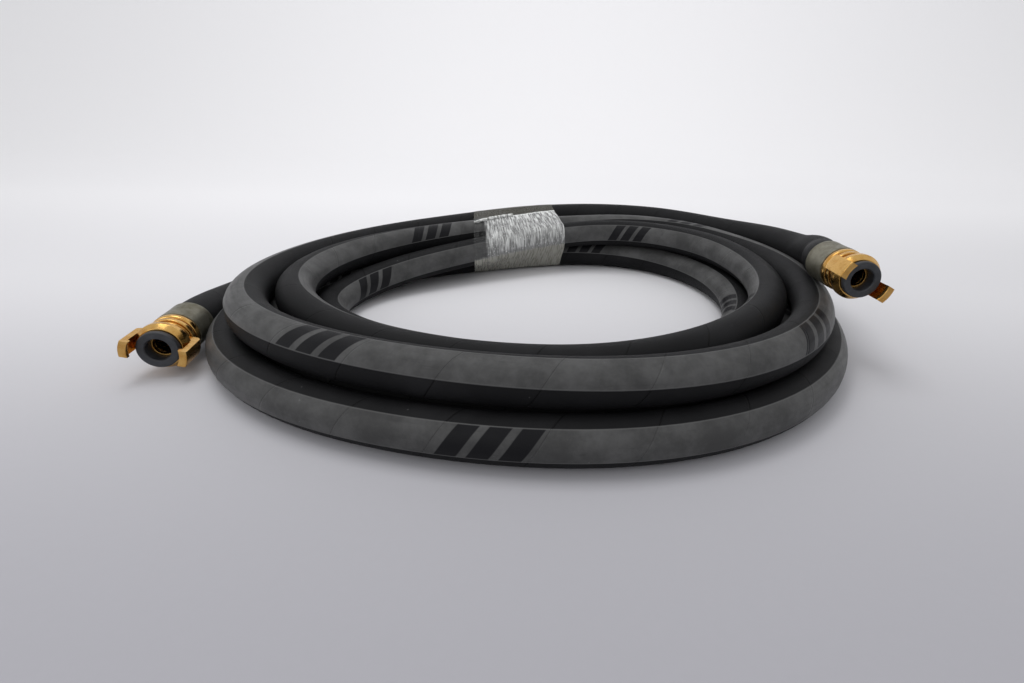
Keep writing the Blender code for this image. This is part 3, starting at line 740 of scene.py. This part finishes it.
def wrapped_tube(run, outline, inner, inner_sides):
    """Hose layer: an outer skin from an outline of (angle, radius) pairs, and a round bore."""
    points = [point for point, _ in run]
    frames = [section_frame(points, index) for index in range(len(run))]
    verts, faces = [], []
    lengths, total = [], 0.0
    for index, (point, travel) in enumerate(run):
        total += (point - points[max(index - 1, 0)]).length
        lengths.append(total)
        outward, up = frames[index]
        turn = stripe_angle(travel)
        for offset, radius in outline:
            a = turn + math.radians(offset)
            verts.append(point + radius * (math.cos(a) * outward + math.sin(a) * up))
    # The outline's first and last corners are one corner, half a turn from the stripe.
    corners = len(outline)
    for index in range(len(run) - 1):
        faces += ring_faces(index * corners, (index + 1) * corners, corners - 1)
    skin_faces, start = len(faces), len(verts)
    for point, (outward, up) in zip(points, frames):
        for k in range(inner_sides):
            a = 2 * math.pi * k / inner_sides
            verts.append(point + inner * (math.cos(a) * outward + math.sin(a) * up))
    for index in range(len(run) - 1):
        here = start + index * inner_sides
        faces += ring_faces(here, here + inner_sides, inner_sides, inward=True)
    return verts, faces, skin_faces, lengths


def hose_mesh(name, run, outline, inner, inner_sides):
    """Mesh of one layer, with a map that runs round and along the hose."""
    verts, faces, skin_faces, lengths = wrapped_tube(run, outline, inner, inner_sides)
    mesh = smooth_mesh(name, verts, faces, HOSE_SHARP)
    bm = bmesh.new()
    bm.from_mesh(mesh)
    loose = [v for v in bm.verts if not v.link_faces]
    bmesh.ops.delete(bm, geom=loose, context="VERTS")
    bm.to_mesh(mesh)
    bm.free()
    outer_sides = len(outline) - 1
    layer = mesh.uv_layers.new(name="HoseRun")
    bars = mesh.uv_layers.new(name="BarRun")
    groups = [at_travel(run, lengths, travel) for travel in BAR_GROUPS]
    for polygon in mesh.polygons:
        skin = polygon.index < skin_faces
        sides = outer_sides if skin else inner_sides
        first = 0 if skin else len(run) * outer_sides
        corners = [divmod(mesh.loops[c].vertex_index - first, sides) for c in polygon.loop_indices]
        ks = [k for _, k in corners]
        wraps = 0 in ks and sides - 1 in ks
        reached = lengths[min(ring for ring, _ in corners)]
        group = min(groups, key=lambda g: abs(reached - g))
        for corner, (ring, k) in zip(polygon.loop_indices, corners):
            around = outline[k][0] / 360.0 + 0.5 if skin else k / sides
            if wraps and k == 0:
                around += 1.0
            layer.uv[corner].vector = (around, lengths[ring])
            bars.uv[corner].vector = (around, lengths[ring] - group)
    return close_ends(mesh, len(run), outer_sides, inner_sides)


def at_travel(run, lengths, travel):
    """Length of hose up to a travel angle."""
    for (_, reached), length in zip(run, lengths):
        if reached >= travel:
            return length
    return lengths[-1]


def close_ends(mesh, rings, outer_sides, inner_sides):
    """Joins the outer skin to the bore at both ends of a layer."""
    bm = bmesh.new()
    bm.from_mesh(mesh)
    bm.verts.ensure_lookup_table()
    first_inner = rings * outer_sides
    for ring in (0, rings - 1):
        outer = [bm.verts[ring * outer_sides + k] for k in range(outer_sides)]
        inner = [bm.verts[first_inner + ring * inner_sides + k] for k in range(inner_sides)]
        edges = []
        for loop in (outer, inner):
            for k, vertex in enumerate(loop):
                edges.append(bm.edges.get((vertex, loop[(k + 1) % len(loop)])))
        bmesh.ops.triangle_fill(bm, use_beauty=True, use_dissolve=False, edges=edges)
    bmesh.ops.recalc_face_normals(bm, faces=bm.faces)
    bm.to_mesh(mesh)
    bm.free()
    return smoothed(mesh, HOSE_SHARP)


def softened(profile, steps=4):
    """Closed profile of (along, radius, rounding) points with its corners rounded."""
    made = []
    count = len(profile)
    for i, (along, radius, rounding) in enumerate(profile):
        corner = Vector((along, radius))
        before = Vector(profile[i - 1][:2]) - corner
        after = Vector(profile[(i + 1) % count][:2]) - corner
        if not rounding:
            made.append(tuple(corner))
            continue
        angle = before.angle(after)
        cut = min(rounding / math.tan(angle / 2), 0.45 * before.length, 0.45 * after.length)
        start = corner + before.normalized() * cut
        end = corner + after.normalized() * cut
        for k in range(steps + 1):
            t = k / steps
            made.append(tuple((1 - t)**2 * start + 2 * t * (1 - t) * corner + t**2 * end))
    return made


def turned_mesh(name, profile, sides, shape=None):
    """Closed ring turned about +Z. shape(along, radius, angle) may push its radius in or out."""
    verts, faces = [], []
    count = len(profile)
    for k in range(sides):
        a = 2 * math.pi * k / sides
        for along, radius in profile:
            reach = shape(along, radius, a) if shape else radius
            verts.append((reach * math.cos(a), reach * math.sin(a), along))
    for k in range(sides):
        faces += ring_faces(k * count, (k + 1) % sides * count, count, inward=True)
    return closed_mesh(name, verts, faces, 32.0)


def coupling_place(side):
    """Matrix from a coupling's own space, +Z along its axis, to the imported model's frame."""
    rear, aim = COUPLINGS[side]
    across = Vector((0.0, 0.0, 1.0)).cross(aim).normalized()
    turn = Matrix((across, aim.cross(across), aim)).transposed().to_4x4()
    return Matrix.Translation(rear) @ turn


def add_turned(name, node, profile, finish, look, shape=None, on_head=False):
    """One turned piece on each coupling, which stands for that coupling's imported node."""
    for side in SIDES:
        mesh = turned_mesh(f"{side}_{name}", profile, look.sides, shape)
        piece = add_piece(mesh.name, mesh, finish, f"{side}_head" if on_head else "hose",
                          coupling_place(side))
        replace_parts(piece, f"{side}_{node}")


# ---------------------------------------------------------------- the pieces
class HoseOperator(Operator):
    """What every step of the hose's making shares"""
    bl_options = {"REGISTER", "UNDO"}

    def settings(self, context, name):
        return getattr(context.scene, name)


class HYDRAULIC_OT_hose(HoseOperator):
    """Makes the hose's cover, reinforcement and liner along the coiled route"""
    bl_idname = "hydraulic.hose"
    bl_label = "Hose"

    def execute(self, context):
        look = self.settings(context, "hose_settings")
        run = hose_run(look.diameter, HOSE_STEP)
        inner = look.diameter / 2 - look.cover_wall
        liner_outer = look.bore / 2 + look.liner_wall
        sides = 24

        def ring(radius):
            return [(-180 + 360 * k / sides, radius) for k in range(sides + 1)]

        skin = [(a, cover_radius(look, a)) for a in cover_offsets(look)]
        for name, node, step, outline, bore, finish, slot in (
                ("hose", "hose_cover", 1, skin, inner, finish_of(cover_finish, look),
                 "cover_rubber"),
                ("reinforcement", "hose_reinforcement", 2, ring(inner - CLEARANCE),
                 liner_outer + CLEARANCE, finish_of(ply_finish), "ply_textile"),
                ("liner", "hose_liner", 2, ring(liner_outer), look.bore / 2,
                 finish_of(liner_finish), "liner_rubber")):
            mesh = hose_mesh(name, run[::step], outline, bore, sides)
            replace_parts(add_piece(name, mesh, finish, "hose"), node)
        return {"FINISHED"}


def hull_outline(azimuth, diameter, reach, count):
    """Points round all the turns at one azimuth, as (out, height, direction), evenly spaced."""
    centres = []
    travel = azimuth
    while travel < LAST_TRAVEL:
        centres.append(coil_place(travel, diameter))
        travel += 360.0
    ring = []
    for k in range(HULL_STEPS):
        a = 2 * math.pi * k / HULL_STEPS
        c, s = math.cos(a), math.sin(a)
        u, v = max(centres, key=lambda p: c * p[0] + s * p[1])
        ring.append((u + reach * c, v + reach * s, a))
    after = ring[1:] + ring[:1]
    steps = [math.dist(p[:2], q[:2]) for p, q in zip(ring, after)]
    total = sum(steps)
    made, k, passed = [], 0, 0.0
    for i in range(count):
        goal = total * i / count
        while passed + steps[k] < goal:
            passed += steps[k]
            k += 1
        t = (goal - passed) / steps[k]
        here, there = ring[k], after[k]
        turn = here[2] + t * (2 * math.pi / HULL_STEPS)
        made.append((here[0] + (there[0] - here[0]) * t, here[1] + (there[1] - here[1]) * t,
                     turn, goal))
    return made


def film_height(along, around, turn, seed, height):
    """Height of the film's wrinkles: sharp ridges that run round the turns, more on top."""
    ridges = 1 - abs(noise.noise(Vector((along * 210, around * 16, seed)))) * 2.2
    folds = noise.noise(Vector((along * 85, around * 45, seed + 7))) * 0.5 + 0.5
    fine = noise.noise(Vector((along * 520, around * 60, seed + 3))) * 0.5 + 0.5
    top = 0.35 + 0.65 * max(0.0, math.sin(turn)) ** 0.7
    return height * top * (0.45 * max(ridges, 0.0) ** 2 + 0.35 * folds + 0.2 * fine)


def film_maps(mesh, places, columns, turn_length):
    """Writes the film's own maps: along and round the band, and away from its ridge and fold."""
    runs = mesh.uv_layers.new(name="FilmRun")
    zones = mesh.uv_layers.new(name="FilmZone")
    for polygon in mesh.polygons:
        ks = [mesh.loops[c].vertex_index for c in polygon.loop_indices]
        wraps = any(k % columns == columns - 1 for k in ks)
        for corner, vertex in zip(polygon.loop_indices, ks):
            run, around, ridge, taut = places[vertex]
            over = turn_length if wraps and vertex % columns == 0 else 0.0
            runs.uv[corner].vector = (run, around + over)
            zones.uv[corner].vector = (ridge + over, taut + over)


class HYDRAULIC_OT_film(HoseOperator):
    """Makes the band of stretch film round the turns, with its loose twisted tail"""
    bl_idname = "hydraulic.film"
    bl_label = "Film band"

    def execute(self, context):
        look = self.settings(context, "film_settings")
        hose = self.settings(context, "hose_settings")
        finish = finish_of(film_finish, look)
        for mesh in (self.band(look, hose), self.tail(hose)):
            piece = add_piece(mesh.name, mesh, finish, "hose")
            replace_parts(piece, "film_wrap")
        return {"FINISHED"}

    def outlines(self, reach, hose):
        """Outline of the turns at every degree that the slanted band crosses."""
        return {a: hull_outline(a, hose.diameter, reach, FILM_COLUMNS) for a in range(80, 136)}

    def outline_at(self, outlines, azimuth, k):
        low = math.floor(azimuth)
        share = azimuth - low
        return [a + (b - a) * share for a, b in zip(outlines[low][k], outlines[low + 1][k])]

    def slanted(self, look, share, out):
        """Azimuth of a point of the band: how far across it is, and how far out of the coil."""
        start, end = (edge - out * math.tan(lean) / radius for edge, lean, radius in (
            (look.start, look.start_lean, START_RADIUS), (look.end, look.end_lean, END_RADIUS)))
        return math.degrees(start + (end - start) * share)

    def ridge_out(self, share):
        """How far in from the outer turn the gathered film's upper edge lies."""
        return -0.027 - 0.017 * share

    def band(self, look, hose):
        rows, columns, seed = 96, FILM_COLUMNS, 11.0
        outlines = self.outlines(hose.diameter / 2 + FILM_SEAT, hose)
        width = (look.end - look.start) * COIL_RADIUS * 0.92
        verts, faces, places = [], [], []
        for skin in (look.thickness, 0.0):
            for row in range(rows + 1):
                share = row / rows
                edge = 1.0 if row in (0, rows) else 0.0
                middle = self.slanted(look, share, 0.0)
                line = [self.outline_at(outlines, middle, k) for k in range(columns)]
                ridge = next(p[3] for p in line
                             if p[2] > RIDGE_TURN and p[0] <= self.ridge_out(share))
                taut = next(p[3] for p in line if p[2] > TAUT_TURN)
                for k in range(columns):
                    azimuth = self.slanted(look, share, line[k][0])
                    u, v, turn, around = self.outline_at(outlines, azimuth, k)
                    foot, outward = outer_turn(azimuth)
                    run = share * width
                    calm = 0.12 if around > taut or around < ridge else 1.0
                    rise = film_height(run, around, turn, seed, look.wrinkle * calm)
                    rise = rise * (1 - 0.6 * edge) + skin
                    sway = noise.noise(Vector((around * 30, seed, share * 0.7))) * 0.0016
                    verts.append(COIL_MIDDLE + foot + outward * (u + rise * math.cos(turn))
                                 + Vector((0, 0, max(v + rise * math.sin(turn), 0.0001)))
                                 + Vector((-outward.y, outward.x, 0.0)) * sway)
                    places.append((run, around, around - ridge, around - taut))
        half = (rows + 1) * columns
        for a in range(0, rows * columns, columns):
            faces += ring_faces(a, a + columns, columns)
            faces += ring_faces(half + a, half + a + columns, columns, inward=True)
        for a in (0, rows * columns):
            faces += ring_faces(a, half + a, columns, inward=True)
        mesh = closed_mesh("film_band", verts, faces, 80.0)
        film_maps(mesh, places, columns, places[columns - 1][1] + places[1][1])
        return mesh

    def tail(self, hose):
        """Loose end of the film, twisted into a cord that lies on the top turn."""
        rings, sides = 60, 18
        start, end = 107.0, 122.6
        outlines = self.outlines(hose.diameter / 2 + 0.0026, hose)
        verts, faces, places = [], [], []
        for i in range(rings + 1):
            t = i / rings
            azimuth = start + (end - start) * t
            foot, outward = outer_turn(azimuth)
            goal = self.ridge_out(0.75 + 0.3 * t) - 0.013 * t
            line = [self.outline_at(outlines, azimuth, k) for k in range(FILM_COLUMNS)]
            u, v, turn, _ = next(p for p in line if p[2] > RIDGE_TURN and p[0] <= goal)
            radius = 0.0028 * (1 - 0.15 * t) * min(1.0, (1 - t) * 8 + 0.3)
            middle = COIL_MIDDLE + foot + outward * u + Vector((0, 0, v))
            normal = outward * math.cos(turn) + Vector((0, 0, math.sin(turn)))
            across = normal.cross(Vector((-outward.y, outward.x, 0.0)))
            for k in range(sides):
                a = 2 * math.pi * k / sides
                reach = radius * (0.84 + 0.16 * math.cos(a * 3 + t * 34))
                verts.append(middle + reach * (math.cos(a) * normal + math.sin(a) * across))
                places.append((i * 0.0009, k * 0.0008, 0.0, -0.1))
        for a in range(0, rings * sides, sides):
            faces += ring_faces(a, a + sides, sides)
        faces += [tuple(range(a, a + sides)) for a in (0, rings * sides)]
        mesh = closed_mesh("film_tail", verts, faces, 60.0)
        film_maps(mesh, places, sides, 0.0)
        return mesh


class HYDRAULIC_OT_ferrules(HoseOperator):
    """Makes the crimped sleeves over the hose's ends"""
    bl_idname = "hydraulic.ferrules"
    bl_label = "Ferrules"

    def execute(self, context):
        look = self.settings(context, "coupling_settings")
        edge = 0.7 * MM
        lip_inner = GROOVE_RADIUS + CLEARANCE
        lip_start = FERRULE_LENGTH - FERRULE_LIP + CLEARANCE
        steps = 22
        skin = [(FERRULE_LENGTH * k / steps, FERRULE_RADIUS, 0) for k in range(1, steps)]
        profile = softened([(0, FERRULE_INNER, 0.4 * MM), (0, FERRULE_RADIUS, edge), *skin,
                            (FERRULE_LENGTH, FERRULE_RADIUS, 1.2 * MM),
                            (FERRULE_LENGTH, lip_inner, 0.3 * MM), (lip_start, lip_inner, 0),
                            (lip_start, FERRULE_INNER, 0)])
        add_turned("sleeve", "ferrule", profile, finish_of(steel_finish, look),
                   look, self.crimp(look))
        return {"FINISHED"}

    def crimp(self, look):
        """Shape pressed by the jaws: a flat under each one and a thin ridge between them."""
        jaws = look.crimp_jaws

        def pressed(along, radius, angle):
            if radius < FERRULE_RADIUS - 0.2 * MM:
                return radius
            ease = 3.0 * MM
            inside = min(along - 3 * MM, FERRULE_LENGTH - 5 * MM - along)
            share = min(max(inside / ease, 0.0), 1.0)
            share = share * share * (3 - 2 * share)
            off = (angle * jaws / (2 * math.pi)) % 1.0 - 0.5
            half_flat = math.pi / jaws
            flat = math.cos(half_flat) / math.cos(off * 2 * half_flat)
            ridge = math.exp(-((abs(off) - 0.5) / 0.035) ** 2)
            depth = look.crimp_depth * (1 - ridge)
            return radius - share * (depth + (1 - flat) * radius * 0.05)

        return pressed


class HYDRAULIC_OT_stems(HoseOperator):
    """Makes the hose stems, with barbs, collar, bead ring and spigot"""
    bl_idname = "hydraulic.stems"
    bl_label = "Stems"

    def execute(self, context):
        look = self.settings(context, "coupling_settings")
        root = STEM_TAIL - BARB_DEPTH
        tail = HOSE_END - BARB_COUNT * BARB_PITCH
        profile = [(tail, STEM_BORE, 0.3 * MM), (tail, root, 0.3 * MM)]
        for barb in range(BARB_COUNT, 0, -1):
            crest = HOSE_END - (barb - 1) * BARB_PITCH - BARB_PITCH / 3
            profile += [(crest, STEM_TAIL, 0.15 * MM), (crest, root, 0.2 * MM)]
        profile += [(COLLAR_START, root, 0), (COLLAR_START, COLLAR_RADIUS, 0.3 * MM),
                    (COLLAR_START + COLLAR_LENGTH, COLLAR_RADIUS, 0.3 * MM),
                    (COLLAR_START + COLLAR_LENGTH, GROOVE_RADIUS, 0),
                    (BEAD_START, GROOVE_RADIUS, 0), (BEAD_START, BEAD_RADIUS, 2.4 * MM),
                    (SPIGOT_START, BEAD_RADIUS, 2.4 * MM),
                    (SPIGOT_START, SPIGOT_RADIUS, 0.2 * MM)]
        for place, half, depth in (REAR_GROOVE, SNAP_GROOVE, FRONT_GROOVE):
            middle, floor = SPIGOT_START + place, SPIGOT_RADIUS - depth
            profile += [(middle - half, SPIGOT_RADIUS, 0), (middle - half, floor, 0),
                        (middle + half, floor, 0), (middle + half, SPIGOT_RADIUS, 0)]
        profile += [(SPIGOT_END, SPIGOT_RADIUS, 0.4 * MM), (SPIGOT_END, STEM_BORE, 0.4 * MM)]
        add_turned("tail", "stem", softened(profile), finish_of(brass_finish, look), look)
        return {"FINISHED"}


class HYDRAULIC_OT_claw_heads(HoseOperator):
    """Makes the swivelling brass heads with their flange and two hooked claws"""
    bl_idname = "hydraulic.claw_heads"
    bl_label = "Claw heads"

    def execute(self, context):
        look = self.settings(context, "coupling_settings")
        for side in SIDES:
            head = add_piece(side + "_head", turned_mesh(side + "_head", self.body(), look.sides),
                             finish_of(brass_finish, look), side + "_head",
                             coupling_place(side))
            self.join_claws(context, head, CLAW_TILTS[side], look)
            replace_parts(head, side + "_claw_head")
        return {"FINISHED"}

    def body(self):
        """Profile of the turned part: rear ring, neck, ramped flange and seal recess."""
        place, half, depth = SNAP_GROOVE
        snap, snap_radius = SPIGOT_START + place, HEAD_BORE + depth
        plug = SEAL_PLUG + CLEARANCE
        bore = SEAL_BORE - 1.2 * MM
        small, large = 0.4 * MM, 1.4 * MM
        return softened([
            (HEAD_START, HEAD_BORE, small), (HEAD_START, HEAD_RING_RADIUS, 1.8 * MM),
            (NECK_START, HEAD_RING_RADIUS, 1.8 * MM), (NECK_START, HEAD_NECK_RADIUS, large),
            (FLANGE_START, HEAD_NECK_RADIUS, large), (FLANGE_START, FLANGE_RADIUS, large),
            (RAMP_START, FLANGE_RADIUS, large), (HEAD_FRONT, FLANGE_NOSE_RADIUS, 0.8 * MM),
            (HEAD_FRONT, plug, small), (SEAL_SEAT, plug, small), (SEAL_SEAT, bore, small),
            (SPIGOT_END + CLEARANCE, bore, 0), (SPIGOT_END + CLEARANCE, HEAD_BORE, 0),
            (snap + half, HEAD_BORE, 0), (snap + half, snap_radius, 0),
            (snap - half, snap_radius, 0), (snap - half, HEAD_BORE, 0)], 5)

    def claw(self, turn):
        """One claw: a curved arm from the neck past the flange, with a lip that points in."""
        arm = CLAW_LIP_RADIUS + CLAW_LIP_DEPTH
        back = arm + CLAW_THICKNESS
        rear = NECK_START + 1.2 * MM
        root_front = RAMP_START - 1.2 * MM
        outline = softened([
            (rear, CLAW_ROOT_RADIUS, 0), (rear, back - 2.4 * MM, 1.0 * MM),
            (rear + 2.4 * MM, back, 1.6 * MM), (CLAW_TIP, back, 1.1 * MM),
            (CLAW_TIP, CLAW_LIP_RADIUS, 0.9 * MM),
            (CLAW_TIP - CLAW_LIP_LENGTH, CLAW_LIP_RADIUS, 0.6 * MM),
            (CLAW_TIP - CLAW_LIP_LENGTH - 1.2 * MM, arm, 0.8 * MM), (root_front, arm, 0.6 * MM),
            (root_front, CLAW_ROOT_RADIUS, 0)])
        strips = 8
        count = len(outline)
        verts, faces = [], []
        for k in range(strips + 1):
            across = CLAW_WIDTH * (k / strips - 0.5)
            for along, radius in outline:
                verts.append((math.sqrt(radius**2 - across**2), across, along))
        for a in range(0, strips * count, count):
            faces += ring_faces(a, a + count, count)
        faces += [tuple(range(a, a + count)) for a in (0, strips * count)]
        turned = Matrix.Rotation(turn, 3, "Z")
        return closed_mesh("claw", [turned @ Vector(v) for v in verts], faces)

    def join_claws(self, context, head, tilt, look):
        """Welds the claws to the turned body and rounds the edges between them."""
        claws = []
        for number in range(2):
            turn = math.radians(tilt + 180.0 * number)
            claw = bpy.data.objects.new("claw", self.claw(turn))
            claw.matrix_world = head.matrix_world
            context.scene.collection.objects.link(claw)
            union = head.modifiers.new("claw", "BOOLEAN")
            union.operation = "UNION"
            union.object = claw
            claws.append(claw)
        context.view_layer.update()
        welded = bpy.data.meshes.new_from_object(
            head.evaluated_get(context.evaluated_depsgraph_get()))
        head.modifiers.clear()
        head.data = welded
        for claw in claws:
            bpy.data.objects.remove(claw, do_unlink=True)
        sharp = 40.0
        smoothed(welded, sharp)
        bevel = head.modifiers.new("edges", "BEVEL")
        bevel.width = look.edge
        bevel.segments = 3
        bevel.limit_method = "ANGLE"
        bevel.angle_limit = math.radians(sharp)
        bevel.harden_normals = False


class HYDRAULIC_OT_face_seals(HoseOperator):
    """Makes the rubber rings that two mated couplings press together"""
    bl_idname = "hydraulic.face_seals"
    bl_label = "Face seals"

    def execute(self, context):
        look = self.settings(context, "coupling_settings")
        back = HEAD_FRONT + CLEARANCE
        profile = softened([
            (SEAL_SEAT + CLEARANCE, SEAL_BORE, 0.4 * MM),
            (SEAL_SEAT + CLEARANCE, SEAL_PLUG, 0.4 * MM),
            (back, SEAL_PLUG, 0), (back, SEAL_RADIUS - 0.5 * MM, 0.5 * MM),
            (back + 1.2 * MM, SEAL_RADIUS, 0.5 * MM), (SEAL_FACE, SEAL_RADIUS, 1.5 * MM),
            (SEAL_FACE, SEAL_BORE + 0.9 * MM, 0.5 * MM),
            (SEAL_FACE - 1.0 * MM, SEAL_BORE, 0.5 * MM)], 6)
        add_turned("ring", "face_seal", profile, finish_of(seal_finish, look),
                   look, on_head=True)
        return {"FINISHED"}


class HYDRAULIC_OT_inner_rings(HoseOperator):
    """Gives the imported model's hidden rings their finishes"""
    bl_idname = "hydraulic.inner_rings"
    bl_label = "Inner rings"

    def execute(self, context):
        look = self.settings(context, "coupling_settings")
        finishes = {"rear_o_ring": finish_of(seal_finish, look),
                    "front_o_ring": finish_of(seal_finish, look),
                    "snap_ring": finish_of(spring_finish),
                    "thrust_washer": finish_of(washer_finish)}
        for side in SIDES:
            for name, finish in finishes.items():
                ring = frame["nodes"][f"{side}_{name}"]
                for slot in ring.material_slots:
                    slot.material = finish
        return {"FINISHED"}


class HYDRAULIC_OT_free_hose(HoseOperator):
    bl_idname = "hydraulic.free_hose"
    bl_label = "Free hose"

    def execute(self, context):
        look = self.settings(context, "hose_settings")
        points = [point for point, _ in hose_run(look.diameter, HOSE_STEP)]
        names = ["liner", "reinforcement"]
        names += ["left_" + name for name in ("sleeve", "tail", "head", "ring", "rear_o_ring",
                                              "front_o_ring", "snap_ring", "thrust_washer")]
        return {"FINISHED"}


class HYDRAULIC_OT_studio(HoseOperator):
    """Makes the floor, the soft lights and the camera"""
    bl_idname = "hydraulic.studio"
    bl_label = "Studio"

    def execute(self, context):
        look = self.settings(context, "stage_settings")
        self.floor(context, look)
        self.lights(context, look)
        self.camera(context, look)
        return {"FINISHED"}

    def floor(self, context, look):
        half, back, rise, corner = 5.0, 3.2, 3.0, 1.2
        profile = [(-half, 0.0), (back - corner, 0.0)]
        steps = 16
        for k in range(1, steps + 1):
            a = math.pi / 2 * k / steps
            profile.append((back - corner + corner * math.sin(a), corner * (1 - math.cos(a))))
        profile.append((back, rise))
        verts = [(x, y, z) for y, z in profile for x in (-half, half)]
        faces = [(2 * k, 2 * k + 1, 2 * k + 3, 2 * k + 2) for k in range(len(profile) - 1)]
        mesh = smooth_mesh("floor", verts, faces, 80.0)
        f = Finish("floor_paper", roughness=0.9, specular_ior_level=0.1)
        place = f.place()
        fibres = f.noise(place, 160.0, 3.0)
        depth = f.node("ShaderNodeSeparateXYZ", {0: place}).outputs["Y"]
        paper = look.near_colour
        for low, high, share in ((-0.55, 0.15, 0.60), (0.1, 1.0, 0.70), (0.9, 2.2, 1.0)):
            # Each step of the fade goes part of the way to the far colour; the darker floor in
            # front is painted shade.
            paper = f.mix(f.ramp(depth, low, high, 0.0, share), paper, look.floor_colour)
        mesh.materials.append(f.shade(
            base_color=f.mix(f.times(fibres, 0.02), paper, (0, 0, 0)),
            normal=f.bump(fibres, 0.0001, 0.2)))
        floor = bpy.data.objects.new("floor", mesh)
        context.scene.collection.objects.link(floor)

    def lights(self, context, look):
        context.scene.view_settings.view_transform = "Standard"
        world = bpy.data.worlds.new("studio")
        context.scene.world = world
        world.use_nodes = True
        background = world.node_tree.nodes["Background"]
        background.inputs["Color"].default_value = (0.985, 0.99, 1.0, 1.0)
        background.inputs["Strength"].default_value = 0.71
        coil, wall = Vector((0.0, 0.0, 0.05)), Vector((0.0, 3.2, 1.3))
        for name, place, middle, size, power in (
                ("key", (-0.4, 0.1, 1.75), coil, (1.1, 0.8), look.key_power),
                ("fill", (-1.2, -1.5, 0.9), coil, (0.9, 0.6), look.key_power * 0.3),
                ("wall", (0.0, 0.9, 2.6), wall, (3.6, 0.8), look.rim_power)):
            lamp = bpy.data.lights.new(name, "AREA")
            lamp.shape = "RECTANGLE"
            lamp.size, lamp.size_y = size
            lamp.energy = power
            light = bpy.data.objects.new(name, lamp)
            light.location = place
            light.rotation_euler = (middle - Vector(place)).to_track_quat("-Z", "Y").to_euler()
            context.scene.collection.objects.link(light)

    def camera(self, context, look):
        stand = Vector((0.0, -0.582, 0.224))
        pitch, roll = math.radians(23.83), math.radians(1.14)
        image_width, right_of_middle = 1024.0, 37.4
        data = bpy.data.cameras.new("camera")
        data.sensor_width = 36.0
        data.lens = look.lens
        data.shift_x = -right_of_middle / image_width
        data.clip_start = 0.01
        camera = bpy.data.objects.new("camera", data)
        turn = Matrix.Rotation(math.pi / 2 - pitch, 4, "X") @ Matrix.Rotation(roll, 4, "Z")
        camera.matrix_world = Matrix.Translation(COIL_MIDDLE + stand) @ turn
        context.scene.collection.objects.link(camera)
        context.scene.camera = camera


class HYDRAULIC_PT_panel(Panel):
    """Sidebar panel with every step and its sizes"""
    bl_label = "Coiled hydraulic hose"
    bl_idname = "HYDRAULIC_PT_panel"
    bl_space_type = "VIEW_3D"
    bl_region_type = "UI"
    bl_category = "Hose"

    def draw(self, context):
        scene = context.scene
        for settings, operators in (
                ("hose_settings", (HYDRAULIC_OT_hose,)),
                ("film_settings", (HYDRAULIC_OT_film,)),
                ("coupling_settings", (HYDRAULIC_OT_ferrules, HYDRAULIC_OT_stems,
                                       HYDRAULIC_OT_claw_heads, HYDRAULIC_OT_face_seals,
                                       HYDRAULIC_OT_inner_rings, HYDRAULIC_OT_free_hose)),
                ("stage_settings", (HYDRAULIC_OT_studio,))):
            box = self.layout.box()
            group = getattr(scene, settings)
            for name in group.bl_rna.properties.keys():
                if name not in {"rna_type", "name"}:
                    box.prop(group, name)
            for operator in operators:
                box.operator(operator.bl_idname)


SETTINGS = {"hose_settings": HoseSettings, "film_settings": FilmSettings,
            "coupling_settings": CouplingSettings, "stage_settings": StageSettings}
OPERATORS = (HYDRAULIC_OT_hose, HYDRAULIC_OT_film, HYDRAULIC_OT_ferrules, HYDRAULIC_OT_stems,
             HYDRAULIC_OT_claw_heads, HYDRAULIC_OT_face_seals, HYDRAULIC_OT_inner_rings,
             HYDRAULIC_OT_free_hose, HYDRAULIC_OT_studio)


def register():
    for cls in (*SETTINGS.values(), *OPERATORS, HYDRAULIC_PT_panel):
        bpy.utils.register_class(cls)
    for name, cls in SETTINGS.items():
        setattr(bpy.types.Scene, name, PointerProperty(type=cls))


def unregister():
    for name in SETTINGS:
        delattr(bpy.types.Scene, name)
    for cls in reversed((*SETTINGS.values(), *OPERATORS, HYDRAULIC_PT_panel)):
        bpy.utils.unregister_class(cls)


def main():
    register()
    bpy.ops.hydraulic.studio()
    bpy.ops.hydraulic.hose()
    bpy.ops.hydraulic.film()
    bpy.ops.hydraulic.ferrules()
    bpy.ops.hydraulic.stems()
    bpy.ops.hydraulic.claw_heads()
    bpy.ops.hydraulic.face_seals()
    bpy.ops.hydraulic.inner_rings()
    bpy.ops.hydraulic.free_hose()


if __name__ == "__main__":
    main()
